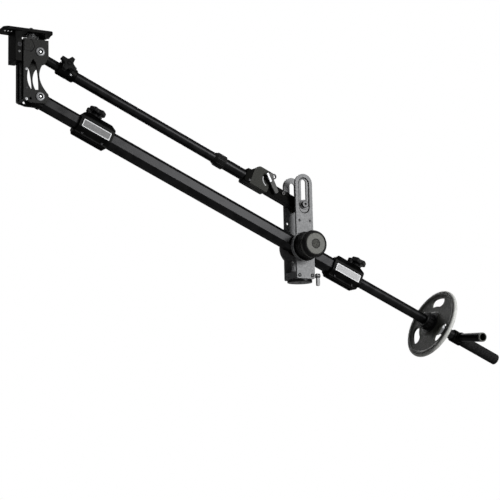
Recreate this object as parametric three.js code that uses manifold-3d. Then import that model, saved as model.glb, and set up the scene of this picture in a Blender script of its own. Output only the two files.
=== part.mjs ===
// Camera jib crane: a pan base, a slotted post, a telescopic boom with a levelling rod above it,
// a camera head that the two keep upright, and a weight bar with a plate and handles.
// Millimetres, +Z up, +X towards the weight, -Y the side of the drag knob.
// The origin is the centre of the flat underside of the pan base.
import * as THREE from 'three';
import { mergeVertices } from 'three/addons/utils/BufferGeometryUtils.js';
import Module from 'manifold-3d';

const wasm = await Module();
wasm.setup();

// Overall lengths and angles
const restTilt = THREE.MathUtils.degToRad(24);
const panHeight = 7;
const pivotHeight = 87;
const pivotSpan = 105;
const boomReach = 755;

// Clearances
const slideFit = 0.3;
const seatGap = 0.3;
const overrun = 4;

// Facets round a turned piece
const fineSides = 36;
const plainSides = 20;
const smallSides = 10;
const hexSides = 6;
const arcSteps = 5;
const lobeSteps = 28;

const pan = {
  radius: 31, edge: 1.2, spindleRadius: 9, spindleLength: 12, threadRadius: 4.8, threadDepth: 13,
};

const lock = {
  y: -15, z: 17.5, stemRadius: 4, stemReach: 24, hubRadius: 6, hubLength: 11,
  hubEdge: 0.4, armInset: 0.8, armThickness: 6, armLength: 25, armRound: 2,
};

const post = {
  plateThickness: 6, gap: 51, upperWidth: 48, lowerWidth: 51, bossRadius: 38, top: 182,
  slotWidth: 14, slotLow: 102, slotHigh: 161,
  recessWidth: 31, recessLow: 98, recessHigh: 157.5, recessDepth: 2,
  holeRadius: 3.4, holeX: 15, holeZ: 64.4,
  blockHeight: 18, blockEdge: 1.5,
  footChamfer: 2,
};

const shaft = { radius: 7, headRadius: 17, headLength: 9, headEdge: 2, sleeveRadius: 9 };

const drag = {
  flangeRadius: 36, flangeLength: 4.5, flangeEdge: 1,
  barrelRadius: 32.5, barrelLength: 23, knurlDepth: 1.1, knurls: 22,
  neckRadius: 29, neckLength: 2.5,
  ringRadius: 33, ringLength: 6, grooveLength: 1.8, grooveDepth: 2.4,
  capRadius: 34, capLength: 14, capEdge: 5.5,
  boreRadius: 7.6, boreDepth: 36,
  insetRadius: 10.5, insetDepth: 3, badgeRadius: 25.5, badgeStep: 1,
};

const boom = { width: 38.1, chamfer: 9, wall: 2.2, front: boomReach - 120, rear: 171 };

const clamp = {
  length: 88, halfDepth: 26.5, sideChamfer: 11, topZ: 32, padHalf: 12, bottomZ: -28.5,
  earOuter: 15, earInner: 3, lipLength: 11.7, endSlope: 11, endDrop: 12, earRound: 6,
  plaqueMargin: 7, plaqueHeight: 19.5, plaqueThickness: 1.4, plaqueRecess: 0.7, plaqueCorner: 2.5,
  plaqueZ: -3,
};
const plaqueHalf = clamp.length / 2 - clamp.plaqueMargin;
const clampReach = clamp.length / 2 - clamp.lipLength - seatGap;
const frontCentre = clampReach - boom.front;
const rearCentre = boom.rear - clampReach;

const clampKnob = {
  radius: 23, lobes: 4, lobeShare: 0.2, thickness: 12, bevel: 3, hubRadius: 11, hubLength: 6,
  stemRadius: 4, stemLength: 10, frontOffset: -10.5, rearOffset: 27,
};

const extension = { width: 33.1, wall: 2, front: boomReach - 17, rear: 260, chamfer: 7.8 };

const eye = { radius: 16.5, width: 31, bossRadius: 14, boreRadius: 5.3, plugLength: 36 };

const bar = { radius: 12.7, front: 75, rear: 650, guideFront: 110, wall: 4 };

const weight = {
  radius: 94, thickness: 11, rimWidth: 13, webThickness: 6, hubRadius: 25, front: 429,
  gripInner: 48.5, gripOuter: 74, gripCount: 3, gripSpan: THREE.MathUtils.degToRad(13), rimEdge: 2.5,
  collarRadius: 23, collarLength: 24, collarEdge: 2,
  lockRadius: 20, lockLength: 22, screwRadius: 3, screwHeadRadius: 7, screwHeadLength: 9, screwReach: 10,
};

const handle = {
  clampFront: 502, clampLength: 32, clampRadius: 18.5, clampEdge: 1.5, drop: THREE.MathUtils.degToRad(5),
  radius: 12, wall: 2.6, length: 101, socketRadius: 15, socketReach: 24, socketDepth: 16,
  gripLength: 116, gripRadius: 14.3, gripEnd: 5, gripEdge: 3,
};

const rod = {
  mainRadius: 12.4, mainWall: 1.3, mainFront: boomReach - 87, mainRear: 166,
  frontRadius: 10.9, frontWall: 1.5, frontStart: boomReach - 21, frontRear: 300,
  rearRadius: 14.2, rearWall: 1.4, rearFront: 250, rearRear: 138,
  collarRadius: 17.4, collarLength: 31, collarTaper: 6, collarStart: 257.5, collarEdge: 3,
  eyeRadius: 14, linkHeight: 28, linkWidth: 22, linkStart: 99, neckRadius: 10, neckLength: 26,
};

const starClamp = {
  radius: 16.6, length: 47, front: rod.mainFront + 30, padReach: 21, padRadius: 9,
  padTilt: THREE.MathUtils.degToRad(74), edge: 2, knobRadius: 22, knobThickness: 9, knobBevel: 2.5,
  lobes: 4, lobeShare: 0.42, knobOffset: 13, hubRadius: 8.5, hubLength: 4, stemRadius: 3, stemLength: 6,
  turn: THREE.MathUtils.degToRad(27),
};

const rodClamp = {
  front: 168, rear: 99, halfWidth: 16, low: -17, noseTop: 17, crown: 37, crownFront: 141,
  edge: 3, noseRun: 10,
};

const cam = {
  pinRadius: 3.2, pinRun: 108, pinRise: 23, headRadius: 10, armWidth: 14, tipWidth: 12, armThickness: 6,
  armLength: 45, slope: THREE.MathUtils.degToRad(41), tipRound: 3,
};

const slotBolt = {
  radius: 5.5, headRadius: 8.8, headLength: 6, washerRadius: 12, washerLength: 2,
  socketRadius: 3.5, socketDepth: 3.5, nutRadius: 10.5, nutLength: 9,
};

const head = {
  gap: 38, plateThickness: 5, left: -40, bottom: -15, topZ: 134, right: 21,
  lowerBoss: 21, bowAngle: THREE.MathUtils.degToRad(22), bowX: -13.9, bowZ: 42.5,
  chinX: 5, chinZ: 74, jawX: 10.5, jawZ: 76.5, cheekZ: 94,
  windowTopX: -17, windowTopZ: 87, windowLeftX: -43.5, windowLeftZ: 41.5,
  windowFootX: -20, windowFootZ: 14, windowToeX: -3, windowToeZ: 16,
  windowRightX: -3, windowRightZ: 50, windowNeckX: -11, windowNeckZ: 80,
  webFront: -43.3, webThickness: 13, webLow: -9, webTop: 132, webSlotWidth: 12, webSlotDepth: 3,
  padRadius: 17, lowerPad: 15, padHeight: 1.2, pivotBore: 5.3,
  tabLow: 105, tabHigh: 131, tabRight: -15, tabRound: 12,
  holeRadius: 3.4, holeX: -23, holeZ: -6,
  cornerDrop: 6, cornerRun: 20,
};

const pin = {
  radius: 5, headRadius: 10.4, headLength: 2.6, coneRadius: 5.2, coneDepth: 1.2, nutRadius: 9, nutLength: 6,
};

const platform = {
  left: -86, right: 32, depth: 50, thickness: 7, underside: 150, corner: 12, cornerRight: 4,
  slotWidth: 10, smallSlotWidth: 6.4, slotStart: -81, slotEnd: -65, mainSlotStart: -30, mainSlotEnd: 22,
  legFront: -60, legThickness: 16.4, legWidth: 48, legLow: 79, legEdge: 1.5,
  ribStart: 12, ribEnd: 30, ribFoot: 22, ribDrop: 11,
};

const cameraScrew = {
  x: -13, radius: 4.7, rise: 9, rootDepth: 4,
  knobRadius: 14, knobThickness: 8, knurls: 16, knurlDepth: 1, washerRadius: 10.5, washerThickness: 1.9,
};

// Colours of the finishes
const finishes = {
  blackAnodised: { color: 0x24262a, roughness: 0.45, metalness: 0.6 },
  satinBlack: { color: 0x1b1c1e, roughness: 0.55, metalness: 0.35 },
  greyTextured: { color: 0x8f9193, roughness: 0.7, metalness: 0.4 },
  blackPlastic: { color: 0x18191a, roughness: 0.6, metalness: 0 },
  rubber: { color: 0x131314, roughness: 0.9, metalness: 0 },
  castIron: { color: 0x2c2e2c, roughness: 0.75, metalness: 0.3 },
  steel: { color: 0xa9acb0, roughness: 0.35, metalness: 0.9 },
  silverPlate: { color: 0x9da0a3, roughness: 0.45, metalness: 0.7 },
  knobFace: { color: 0x5d5f60, roughness: 0.6, metalness: 0.2 },
  brass: { color: 0xa98a4d, roughness: 0.4, metalness: 0.9 },
};

const axisX = new THREE.Vector3(1, 0, 0);
const axisY = new THREE.Vector3(0, 1, 0);
const axisZ = new THREE.Vector3(0, 0, 1);

// Solids

function facedOutward(geometry) {
  const place = geometry.attributes.position;
  const order = geometry.index.array;
  const corners = [new THREE.Vector3(), new THREE.Vector3(), new THREE.Vector3()];
  let volume = 0;
  for (let i = 0; i < order.length; i += 3) {
    corners.forEach((corner, k) => corner.fromBufferAttribute(place, order[i + k]));
    volume += corners[0].dot(corners[1].clone().cross(corners[2]));
  }
  if (volume < 0) {
    for (let i = 0; i < order.length; i += 3) {
      [order[i], order[i + 1]] = [order[i + 1], order[i]];
    }
  }
  return geometry;
}

function solid(geometry) {
  const bare = geometry.clone();
  bare.deleteAttribute('normal');
  bare.deleteAttribute('uv');
  const welded = facedOutward(mergeVertices(bare));
  return new wasm.Manifold(new wasm.Mesh({
    numProp: 3,
    vertProperties: welded.attributes.position.array,
    triVerts: Uint32Array.from(welded.index.array),
  }));
}

function surface(body) {
  const mesh = body.getMesh();
  const geometry = new THREE.BufferGeometry();
  geometry.setAttribute('position', new THREE.BufferAttribute(mesh.vertProperties, 3));
  geometry.setIndex(new THREE.BufferAttribute(mesh.triVerts, 1));
  return geometry;
}

function joined(...bodies) {
  return bodies.reduce((whole, body) => whole.add(body));
}

function cut(body, ...tools) {
  return tools.reduce((rest, tool) => rest.subtract(tool), body);
}

// A solid turned round the axis through the origin; the profile lists [radius, place along the axis].
function turned(profile, axis, sides = plainSides) {
  const points = profile.map(([radius, along]) => new THREE.Vector2(radius, along));
  const geometry = new THREE.LatheGeometry(points, sides);
  geometry.applyQuaternion(new THREE.Quaternion().setFromUnitVectors(axisY, axis));
  return solid(geometry);
}

function rodSolid(radius, from, to, axis, sides = plainSides) {
  return turned([[0, from], [radius, from], [radius, to], [0, to]], axis, sides);
}

function edgedDisc(radius, from, to, edge, axis, sides = plainSides) {
  return turned([[0, from], [radius - edge, from], [radius, from + edge], [radius, to - edge],
    [radius - edge, to], [0, to]], axis, sides);
}

function sleeve(inner, outer, from, to, axis, sides = plainSides) {
  return turned([[inner, from], [outer, from], [outer, to], [inner, to], [inner, from]], axis, sides);
}

function extruded(shape, depth) {
  return new THREE.ExtrudeGeometry(shape, { depth, bevelEnabled: false, curveSegments: arcSteps });
}

// An outline in the X-Z plane, extruded along Y from y0 to y1.
function sideExtrusion(shape, y0, y1) {
  const geometry = extruded(shape, y1 - y0);
  geometry.applyMatrix4(new THREE.Matrix4().makeBasis(axisX, axisZ, axisY.clone().negate()));
  geometry.translate(0, y1, 0);
  return solid(geometry);
}

// An outline in the Y-Z plane, extruded along X from x0 to x1.
function endExtrusion(shape, x0, x1) {
  const geometry = extruded(shape, x1 - x0);
  geometry.applyMatrix4(new THREE.Matrix4().makeBasis(axisY, axisZ, axisX));
  geometry.translate(x0, 0, 0);
  return solid(geometry);
}

// An outline in the X-Y plane, extruded up from z0 to z1.
function planExtrusion(shape, z0, z1) {
  const geometry = extruded(shape, z1 - z0);
  geometry.translate(0, 0, z0);
  return solid(geometry);
}

function block(x0, x1, y0, y1, z0, z1) {
  const geometry = new THREE.BoxGeometry(x1 - x0, y1 - y0, z1 - z0);
  geometry.translate((x0 + x1) / 2, (y0 + y1) / 2, (z0 + z1) / 2);
  return solid(geometry);
}

// A polygon whose corners, given as [u, v, fillet], are rounded by their own fillet.
function roundedPolygon(corners) {
  const shape = new THREE.Shape();
  const count = corners.length;
  corners.forEach(([u, v, fillet = 0], i) => {
    const here = new THREE.Vector2(u, v);
    const before = new THREE.Vector2(...corners[(i + count - 1) % count].slice(0, 2)).sub(here);
    const after = new THREE.Vector2(...corners[(i + 1) % count].slice(0, 2)).sub(here);
    const start = here.clone().addScaledVector(before.normalize(), fillet);
    const end = here.clone().addScaledVector(after.normalize(), fillet);
    if (i === 0) shape.moveTo(start.x, start.y);
    else shape.lineTo(start.x, start.y);
    if (fillet > 0) shape.quadraticCurveTo(here.x, here.y, end.x, end.y);
  });
  shape.closePath();
  return shape;
}

function chamferedSquare(width, chamfer) {
  const half = width / 2;
  const flat = half - chamfer;
  return roundedPolygon([[half, -flat], [half, flat], [flat, half], [-flat, half],
    [-half, flat], [-half, -flat], [-flat, -half], [flat, -half]]);
}

function rectangle(u0, u1, v0, v1, fillet = 0) {
  return roundedPolygon([[u0, v0, fillet], [u1, v0, fillet], [u1, v1, fillet], [u0, v1, fillet]]);
}

// A slot outline with round ends, its end centres at v0 and v1 on the line u = 0.
function slotOutline(width, v0, v1) {
  const shape = new THREE.Shape();
  const radius = width / 2;
  shape.absarc(0, v1, radius, 0, Math.PI, false);
  shape.absarc(0, v0, radius, Math.PI, 2 * Math.PI, false);
  shape.closePath();
  return shape;
}

function lobedOutline(radius, lobes, share, steps) {
  const points = [];
  for (let i = 0; i < steps; i += 1) {
    const angle = (i / steps) * 2 * Math.PI;
    const wave = (1 + Math.cos(lobes * angle)) / 2;
    const reach = radius * (1 - share * (1 - wave) * (1 + wave / 2));
    points.push(new THREE.Vector2(reach * Math.cos(angle), reach * Math.sin(angle)));
  }
  return new THREE.Shape(points);
}

function knurledOutline(radius, depth, count) {
  const points = [];
  for (let i = 0; i < count; i += 1) {
    [[0, 0], [0.25, 1], [0.5, 1], [0.75, 0]].forEach(([turnShare, raiseShare]) => {
      const angle = ((i + turnShare) / count) * 2 * Math.PI;
      const reach = radius - depth * (1 - raiseShare);
      points.push(new THREE.Vector2(reach * Math.cos(angle), reach * Math.sin(angle)));
    });
  }
  return new THREE.Shape(points);
}

// A flat knob lying in the X-Y plane, its underside at z = 0, with bevelled rims.
function flatKnob(outline, thickness, bevel) {
  const geometry = new THREE.ExtrudeGeometry(outline, {
    depth: thickness - 2 * bevel, bevelEnabled: true, bevelThickness: bevel, bevelSize: bevel,
    bevelOffset: -bevel, bevelSegments: 1, curveSegments: arcSteps,
  });
  geometry.translate(0, 0, bevel);
  return solid(geometry);
}

function hexNut(size, from) {
  const to = from + size.nutLength;
  const body = rodSolid(size.nutRadius, from, to, axisY, hexSides);
  const bore = rodSolid(size.radius + slideFit, from - overrun, to + overrun, axisY, smallSides);
  return cut(body, bore);
}

// Scene graph

function named(group, name, finish, body) {
  const mesh = new THREE.Mesh(surface(body), new THREE.MeshStandardMaterial(finishes[finish]));
  mesh.name = name;
  group.add(mesh);
  return mesh;
}

function frameAt(parent, x, z, tilt = 0) {
  const frame = new THREE.Group();
  frame.position.set(x, 0, z);
  frame.rotation.y = tilt;
  parent.add(frame);
  return frame;
}

const crane = new THREE.Group();
const postFrame = frameAt(crane, 0, pivotHeight);
const boomFrame = frameAt(crane, 0, pivotHeight, restTilt);
const rodFrame = frameAt(crane, 0, pivotHeight + pivotSpan, restTilt);
const headFrame = frameAt(crane, -boomReach * Math.cos(restTilt),
  pivotHeight + boomReach * Math.sin(restTilt));

const plateInner = post.gap / 2;
const plateOuter = plateInner + post.plateThickness;
const blockLow = panHeight + seatGap - pivotHeight;
const blockTop = blockLow + post.blockHeight;

// Pan base: the disc that bolts on a stand, with the spindle that the post turns on
{
  const disc = turned([[0, 0], [pan.radius - pan.edge, 0], [pan.radius, pan.edge],
    [pan.radius, panHeight - pan.edge], [pan.radius - pan.edge, panHeight], [pan.spindleRadius, panHeight],
    [pan.spindleRadius, panHeight + pan.spindleLength], [0, panHeight + pan.spindleLength]],
  axisZ, fineSides);
  const thread = rodSolid(pan.threadRadius, -overrun, pan.threadDepth, axisZ, smallSides);
  named(crane, 'pan_base', 'blackAnodised', cut(disc, thread));
}

// Post: a block between two slotted plates
function postOutline() {
  const upper = post.upperWidth / 2;
  const lower = post.lowerWidth / 2;
  const shape = new THREE.Shape();
  const lowAngle = Math.acos(lower / post.bossRadius);
  const highAngle = Math.acos(upper / post.bossRadius);
  shape.moveTo(-lower + post.footChamfer, blockLow);
  shape.lineTo(lower - post.footChamfer, blockLow);
  shape.lineTo(lower, blockLow + post.footChamfer);
  shape.absarc(0, 0, post.bossRadius, -lowAngle, highAngle, false);
  shape.absarc(0, post.top - upper, upper, 0, Math.PI, false);
  shape.absarc(0, 0, post.bossRadius, Math.PI - highAngle, Math.PI + lowAngle, false);
  shape.lineTo(-lower, blockLow + post.footChamfer);
  shape.closePath();
  return shape;
}

function postPlate(name, side) {
  const y0 = side > 0 ? plateInner : -plateOuter;
  const y1 = y0 + post.plateThickness;
  const slot = sideExtrusion(slotOutline(post.slotWidth, post.slotLow, post.slotHigh),
    y0 - overrun, y1 + overrun);
  const outerFace = side * (plateOuter + overrun);
  const floor = side * (plateOuter - post.recessDepth);
  const recess = sideExtrusion(slotOutline(post.recessWidth, post.recessLow, post.recessHigh),
    Math.min(outerFace, floor), Math.max(outerFace, floor));
  const bore = rodSolid(shaft.radius + slideFit, y0 - overrun, y1 + overrun, axisY, plainSides);
  const holes = [-post.holeX, post.holeX].map((x) => (
    rodSolid(post.holeRadius, y0 - overrun, y1 + overrun, axisY, smallSides).translate([x, 0, post.holeZ])));
  named(postFrame, name, 'greyTextured',
    cut(sideExtrusion(postOutline(), y0, y1), slot, recess, bore, ...holes));
}

postPlate('post_plate_near', -1);
postPlate('post_plate_far', 1);

{
  const half = post.lowerWidth / 2;
  const depth = plateInner - seatGap;
  const body = sideExtrusion(rectangle(-half, half, blockLow, blockTop, post.blockEdge), -depth, depth);
  const spindleTop = panHeight + pan.spindleLength - pivotHeight;
  const bore = rodSolid(pan.spindleRadius + slideFit, blockLow - overrun, spindleTop + seatGap, axisZ);
  const lockZ = lock.z - pivotHeight;
  const lockHole = rodSolid(lock.stemRadius + slideFit, pan.spindleRadius, half + overrun, axisX, smallSides)
    .translate([0, lock.y, lockZ]);
  named(postFrame, 'base_block', 'greyTextured', cut(body, bore, lockHole));
}

// Pan lock: a screw through the block's end with a hanging lever
{
  const face = post.lowerWidth / 2;
  const stemTip = face - lock.stemReach / 2;
  const hubStart = face + lock.stemReach / 2;
  const stem = rodSolid(lock.stemRadius, stemTip, hubStart + lock.hubLength / 2, axisX, smallSides);
  const hubEnd = hubStart + lock.hubLength;
  const hub = edgedDisc(lock.hubRadius, hubStart, hubEnd, lock.hubEdge, axisX, smallSides);
  const arm = sideExtrusion(
    rectangle(hubStart + lock.armInset, hubEnd - lock.armInset, -lock.armLength, 0, lock.armRound),
    -lock.armThickness / 2, lock.armThickness / 2);
  const lever = joined(stem, hub, arm).translate([0, lock.y, lock.z - pivotHeight]);
  named(postFrame, 'pan_lock_lever', 'steel', lever);
}

// Main pivot: a through shaft, two thrust bushes and the drag knob that squeezes them
const boomHalf = boom.width / 2;
const dragStart = -plateOuter - seatGap;
const barrelStart = dragStart - drag.flangeLength - seatGap;
{
  const headStart = plateOuter + seatGap;
  const stem = rodSolid(shaft.radius, barrelStart - drag.boreDepth + seatGap,
    headStart + shaft.headEdge, axisY);
  const knob = edgedDisc(shaft.headRadius, headStart, headStart + shaft.headLength, shaft.headEdge, axisY);
  named(postFrame, 'tilt_shaft', 'steel', joined(stem, knob));
}
[['tilt_bush_near', -1], ['tilt_bush_far', 1]].forEach(([name, side]) => {
  const from = boomHalf + seatGap;
  const to = plateInner - seatGap;
  const ends = side > 0 ? [from, to] : [-to, -from];
  named(postFrame, name, 'brass', sleeve(shaft.radius + slideFit, shaft.headRadius, ...ends, axisY));
});
named(postFrame, 'drag_flange', 'satinBlack',
  cut(edgedDisc(drag.flangeRadius, dragStart - drag.flangeLength, dragStart, drag.flangeEdge, axisY),
    rodSolid(shaft.radius + slideFit, dragStart - drag.flangeLength - overrun, dragStart + overrun, axisY)));
{
  // Built pointing up Z from the flange outwards, then laid along -Y
  const ringStart = drag.barrelLength + drag.neckLength;
  const capStart = ringStart + drag.ringLength;
  const capEnd = capStart + drag.capLength;
  const barrel = planExtrusion(knurledOutline(drag.barrelRadius, drag.knurlDepth, drag.knurls),
    0, drag.barrelLength);
  const cap = turned([[0, drag.barrelLength / 2], [drag.neckRadius, drag.barrelLength / 2],
    [drag.neckRadius, ringStart], [drag.ringRadius, ringStart],
    [drag.ringRadius, ringStart + (drag.ringLength - drag.grooveLength) / 2],
    [drag.ringRadius - drag.grooveDepth, ringStart + drag.ringLength / 2],
    [drag.ringRadius, ringStart + (drag.ringLength + drag.grooveLength) / 2], [drag.ringRadius, capStart],
    [drag.capRadius - drag.badgeStep, capStart], [drag.capRadius, capStart + drag.badgeStep],
    [drag.capRadius, capEnd - drag.capEdge],
    [drag.capRadius - drag.capEdge / 3, capEnd - drag.capEdge / 3], [drag.capRadius - drag.capEdge, capEnd],
    [drag.badgeRadius, capEnd], [drag.badgeRadius, capEnd - drag.badgeStep],
    [0, capEnd - drag.badgeStep]], axisZ, fineSides);
  const bore = rodSolid(drag.boreRadius, -overrun, drag.boreDepth, axisZ, smallSides);
  const inset = rodSolid(drag.insetRadius, capEnd - drag.insetDepth, capEnd + overrun, axisZ);
  const layDown = [90, 0, 0];
  named(postFrame, 'drag_knob', 'blackPlastic',
    cut(joined(barrel, cap), bore, inset).rotate(layDown).translate([0, barrelStart, 0]));
  const insert = edgedDisc(drag.insetRadius - seatGap, capEnd - drag.insetDepth + seatGap,
    capEnd - drag.badgeStep + seatGap, seatGap, axisZ);
  named(postFrame, 'drag_knob_insert', 'knobFace', insert.rotate(layDown).translate([0, barrelStart, 0]));
}

// Boom: an eight-sided tube drilled for the pivot, with a sleeve inside
const boomInner = boom.width - 2 * boom.wall;
const innerChamfer = boom.chamfer - boom.wall * (2 - Math.SQRT2);
{
  const outer = endExtrusion(chamferedSquare(boom.width, boom.chamfer), -boom.front, boom.rear);
  const hollow = endExtrusion(chamferedSquare(boomInner, innerChamfer),
    -boom.front - overrun, boom.rear + overrun);
  const bore = rodSolid(shaft.radius + slideFit, -boom.width, boom.width, axisY);
  named(boomFrame, 'boom_tube', 'blackAnodised', cut(outer, hollow, bore));
  const reach = boomInner / 2 - seatGap;
  named(boomFrame, 'pivot_sleeve', 'steel',
    sleeve(shaft.radius + slideFit, shaft.sleeveRadius, -reach, reach, axisY));
}

// Clamps at both ends of the boom tube: a split sleeve with two ears below and a knob above
function clampBody(centre, lipSide, boreTool) {
  const half = clamp.length / 2;
  const depth = clamp.halfDepth;
  const flat = depth - clamp.sideChamfer;
  const section = roundedPolygon([
    [-clamp.earInner, clamp.bottomZ], [-clamp.earInner, -boomHalf], [clamp.earInner, -boomHalf],
    [clamp.earInner, clamp.bottomZ], [clamp.earOuter, clamp.bottomZ],
    [clamp.earOuter, -depth + clamp.earInner],
    [depth, -flat], [depth, flat], [clamp.padHalf, clamp.topZ], [-clamp.padHalf, clamp.topZ],
    [-depth, flat], [-depth, -flat], [-clamp.earOuter, -depth + clamp.earInner],
    [-clamp.earOuter, clamp.bottomZ]]);
  const side = roundedPolygon([
    [-half, clamp.bottomZ, clamp.earRound], [half, clamp.bottomZ, clamp.earRound],
    [half, clamp.topZ - clamp.endDrop], [half - clamp.endSlope, clamp.topZ],
    [-half + clamp.endSlope, clamp.topZ], [-half, clamp.topZ - clamp.endDrop]]);
  const body = endExtrusion(section, -half, half).intersect(sideExtrusion(side, -2 * depth, 2 * depth));
  const tubeRoom = endExtrusion(chamferedSquare(boom.width + 2 * slideFit, boom.chamfer),
    lipSide < 0 ? -half + clamp.lipLength : -half - overrun,
    lipSide < 0 ? half + overrun : half - clamp.lipLength);
  const recess = block(-(plaqueHalf + seatGap), plaqueHalf + seatGap,
    -depth - overrun, -depth + clamp.plaqueRecess,
    clamp.plaqueZ - clamp.plaqueHeight / 2 - seatGap, clamp.plaqueZ + clamp.plaqueHeight / 2 + seatGap);
  return cut(body, tubeRoom, boreTool, recess).translate([centre, 0, 0]);
}

function plaqueBody(centre) {
  const outline = rectangle(-plaqueHalf, plaqueHalf, clamp.plaqueZ - clamp.plaqueHeight / 2,
    clamp.plaqueZ + clamp.plaqueHeight / 2, clamp.plaqueCorner);
  const back = -clamp.halfDepth + clamp.plaqueRecess - seatGap;
  return sideExtrusion(outline, back - clamp.plaqueThickness, back).translate([centre, 0, 0]);
}

function clampKnobBody(x) {
  const outline = lobedOutline(clampKnob.radius, clampKnob.lobes, clampKnob.lobeShare, lobeSteps);
  const wheel = flatKnob(outline, clampKnob.thickness, clampKnob.bevel)
    .translate([0, 0, clampKnob.hubLength]);
  const hub = rodSolid(clampKnob.hubRadius, 0, clampKnob.hubLength + clampKnob.bevel, axisZ, smallSides);
  const stem = rodSolid(clampKnob.stemRadius, -clampKnob.stemLength, clampKnob.hubLength, axisZ, smallSides);
  return joined(wheel, hub, stem).translate([x, 0, clamp.topZ + seatGap]);
}

function knobHole(x) {
  return rodSolid(clampKnob.stemRadius + slideFit, boomHalf, clamp.topZ + overrun, axisZ, smallSides)
    .translate([x, 0, 0]);
}

{
  const frontBore = endExtrusion(chamferedSquare(extension.width + 2 * slideFit, extension.chamfer),
    -clamp.length, clamp.length);
  const rearBore = rodSolid(bar.radius + slideFit, -clamp.length, clamp.length, axisX);
  const frontKnobX = frontCentre + clampKnob.frontOffset;
  const rearKnobX = rearCentre + clampKnob.rearOffset;
  named(boomFrame, 'front_clamp', 'satinBlack',
    cut(clampBody(frontCentre, -1, frontBore), knobHole(frontKnobX)));
  named(boomFrame, 'rear_clamp', 'satinBlack',
    cut(clampBody(rearCentre, 1, rearBore), knobHole(rearKnobX)));
  named(boomFrame, 'front_plaque', 'silverPlate', plaqueBody(frontCentre));
  named(boomFrame, 'rear_plaque', 'silverPlate', plaqueBody(rearCentre));
  named(boomFrame, 'front_clamp_knob', 'blackPlastic', clampKnobBody(frontKnobX));
  named(boomFrame, 'rear_clamp_knob', 'blackPlastic', clampKnobBody(rearKnobX));
}
{
  const plug = endExtrusion(chamferedSquare(boomInner - 2 * slideFit, innerChamfer),
    bar.guideFront, boom.rear - seatGap);
  const bore = rodSolid(bar.radius + slideFit, bar.guideFront - overrun, boom.rear + overrun, axisX);
  named(boomFrame, 'bar_guide', 'blackPlastic', cut(plug, bore));
}

// Extension: the inner tube and its eye at the lower pivot of the head
const extensionInner = extension.width - 2 * extension.wall;
const extensionInnerChamfer = extension.chamfer - extension.wall * (2 - Math.SQRT2);
const headInner = head.gap / 2;
{
  const outer = endExtrusion(chamferedSquare(extension.width, extension.chamfer),
    -extension.front, -extension.rear);
  const hollow = endExtrusion(chamferedSquare(extensionInner, extensionInnerChamfer),
    -extension.front - overrun, -extension.rear + overrun);
  named(boomFrame, 'extension_tube', 'blackAnodised', cut(outer, hollow));

  const neckEnd = -extension.front - seatGap;
  const reach = boomReach + neckEnd;
  const half = extensionInner / 2 - slideFit;
  const cheek = sideExtrusion(
    roundedPolygon([[0, -eye.radius], [reach, -eye.radius], [reach, eye.radius], [0, eye.radius]]),
    -eye.width / 2, eye.width / 2);
  const round = rodSolid(eye.radius, -eye.width / 2, eye.width / 2, axisY);
  const bosses = rodSolid(eye.bossRadius, -headInner + seatGap, headInner - seatGap, axisY);
  const plug = endExtrusion(chamferedSquare(2 * half, extensionInnerChamfer), 0, reach + eye.plugLength);
  const bore = rodSolid(eye.boreRadius, -head.gap, head.gap, axisY, smallSides);
  named(boomFrame, 'extension_eye', 'satinBlack',
    cut(joined(cheek, round, bosses, plug), bore).translate([-boomReach, 0, 0]));
}

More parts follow.
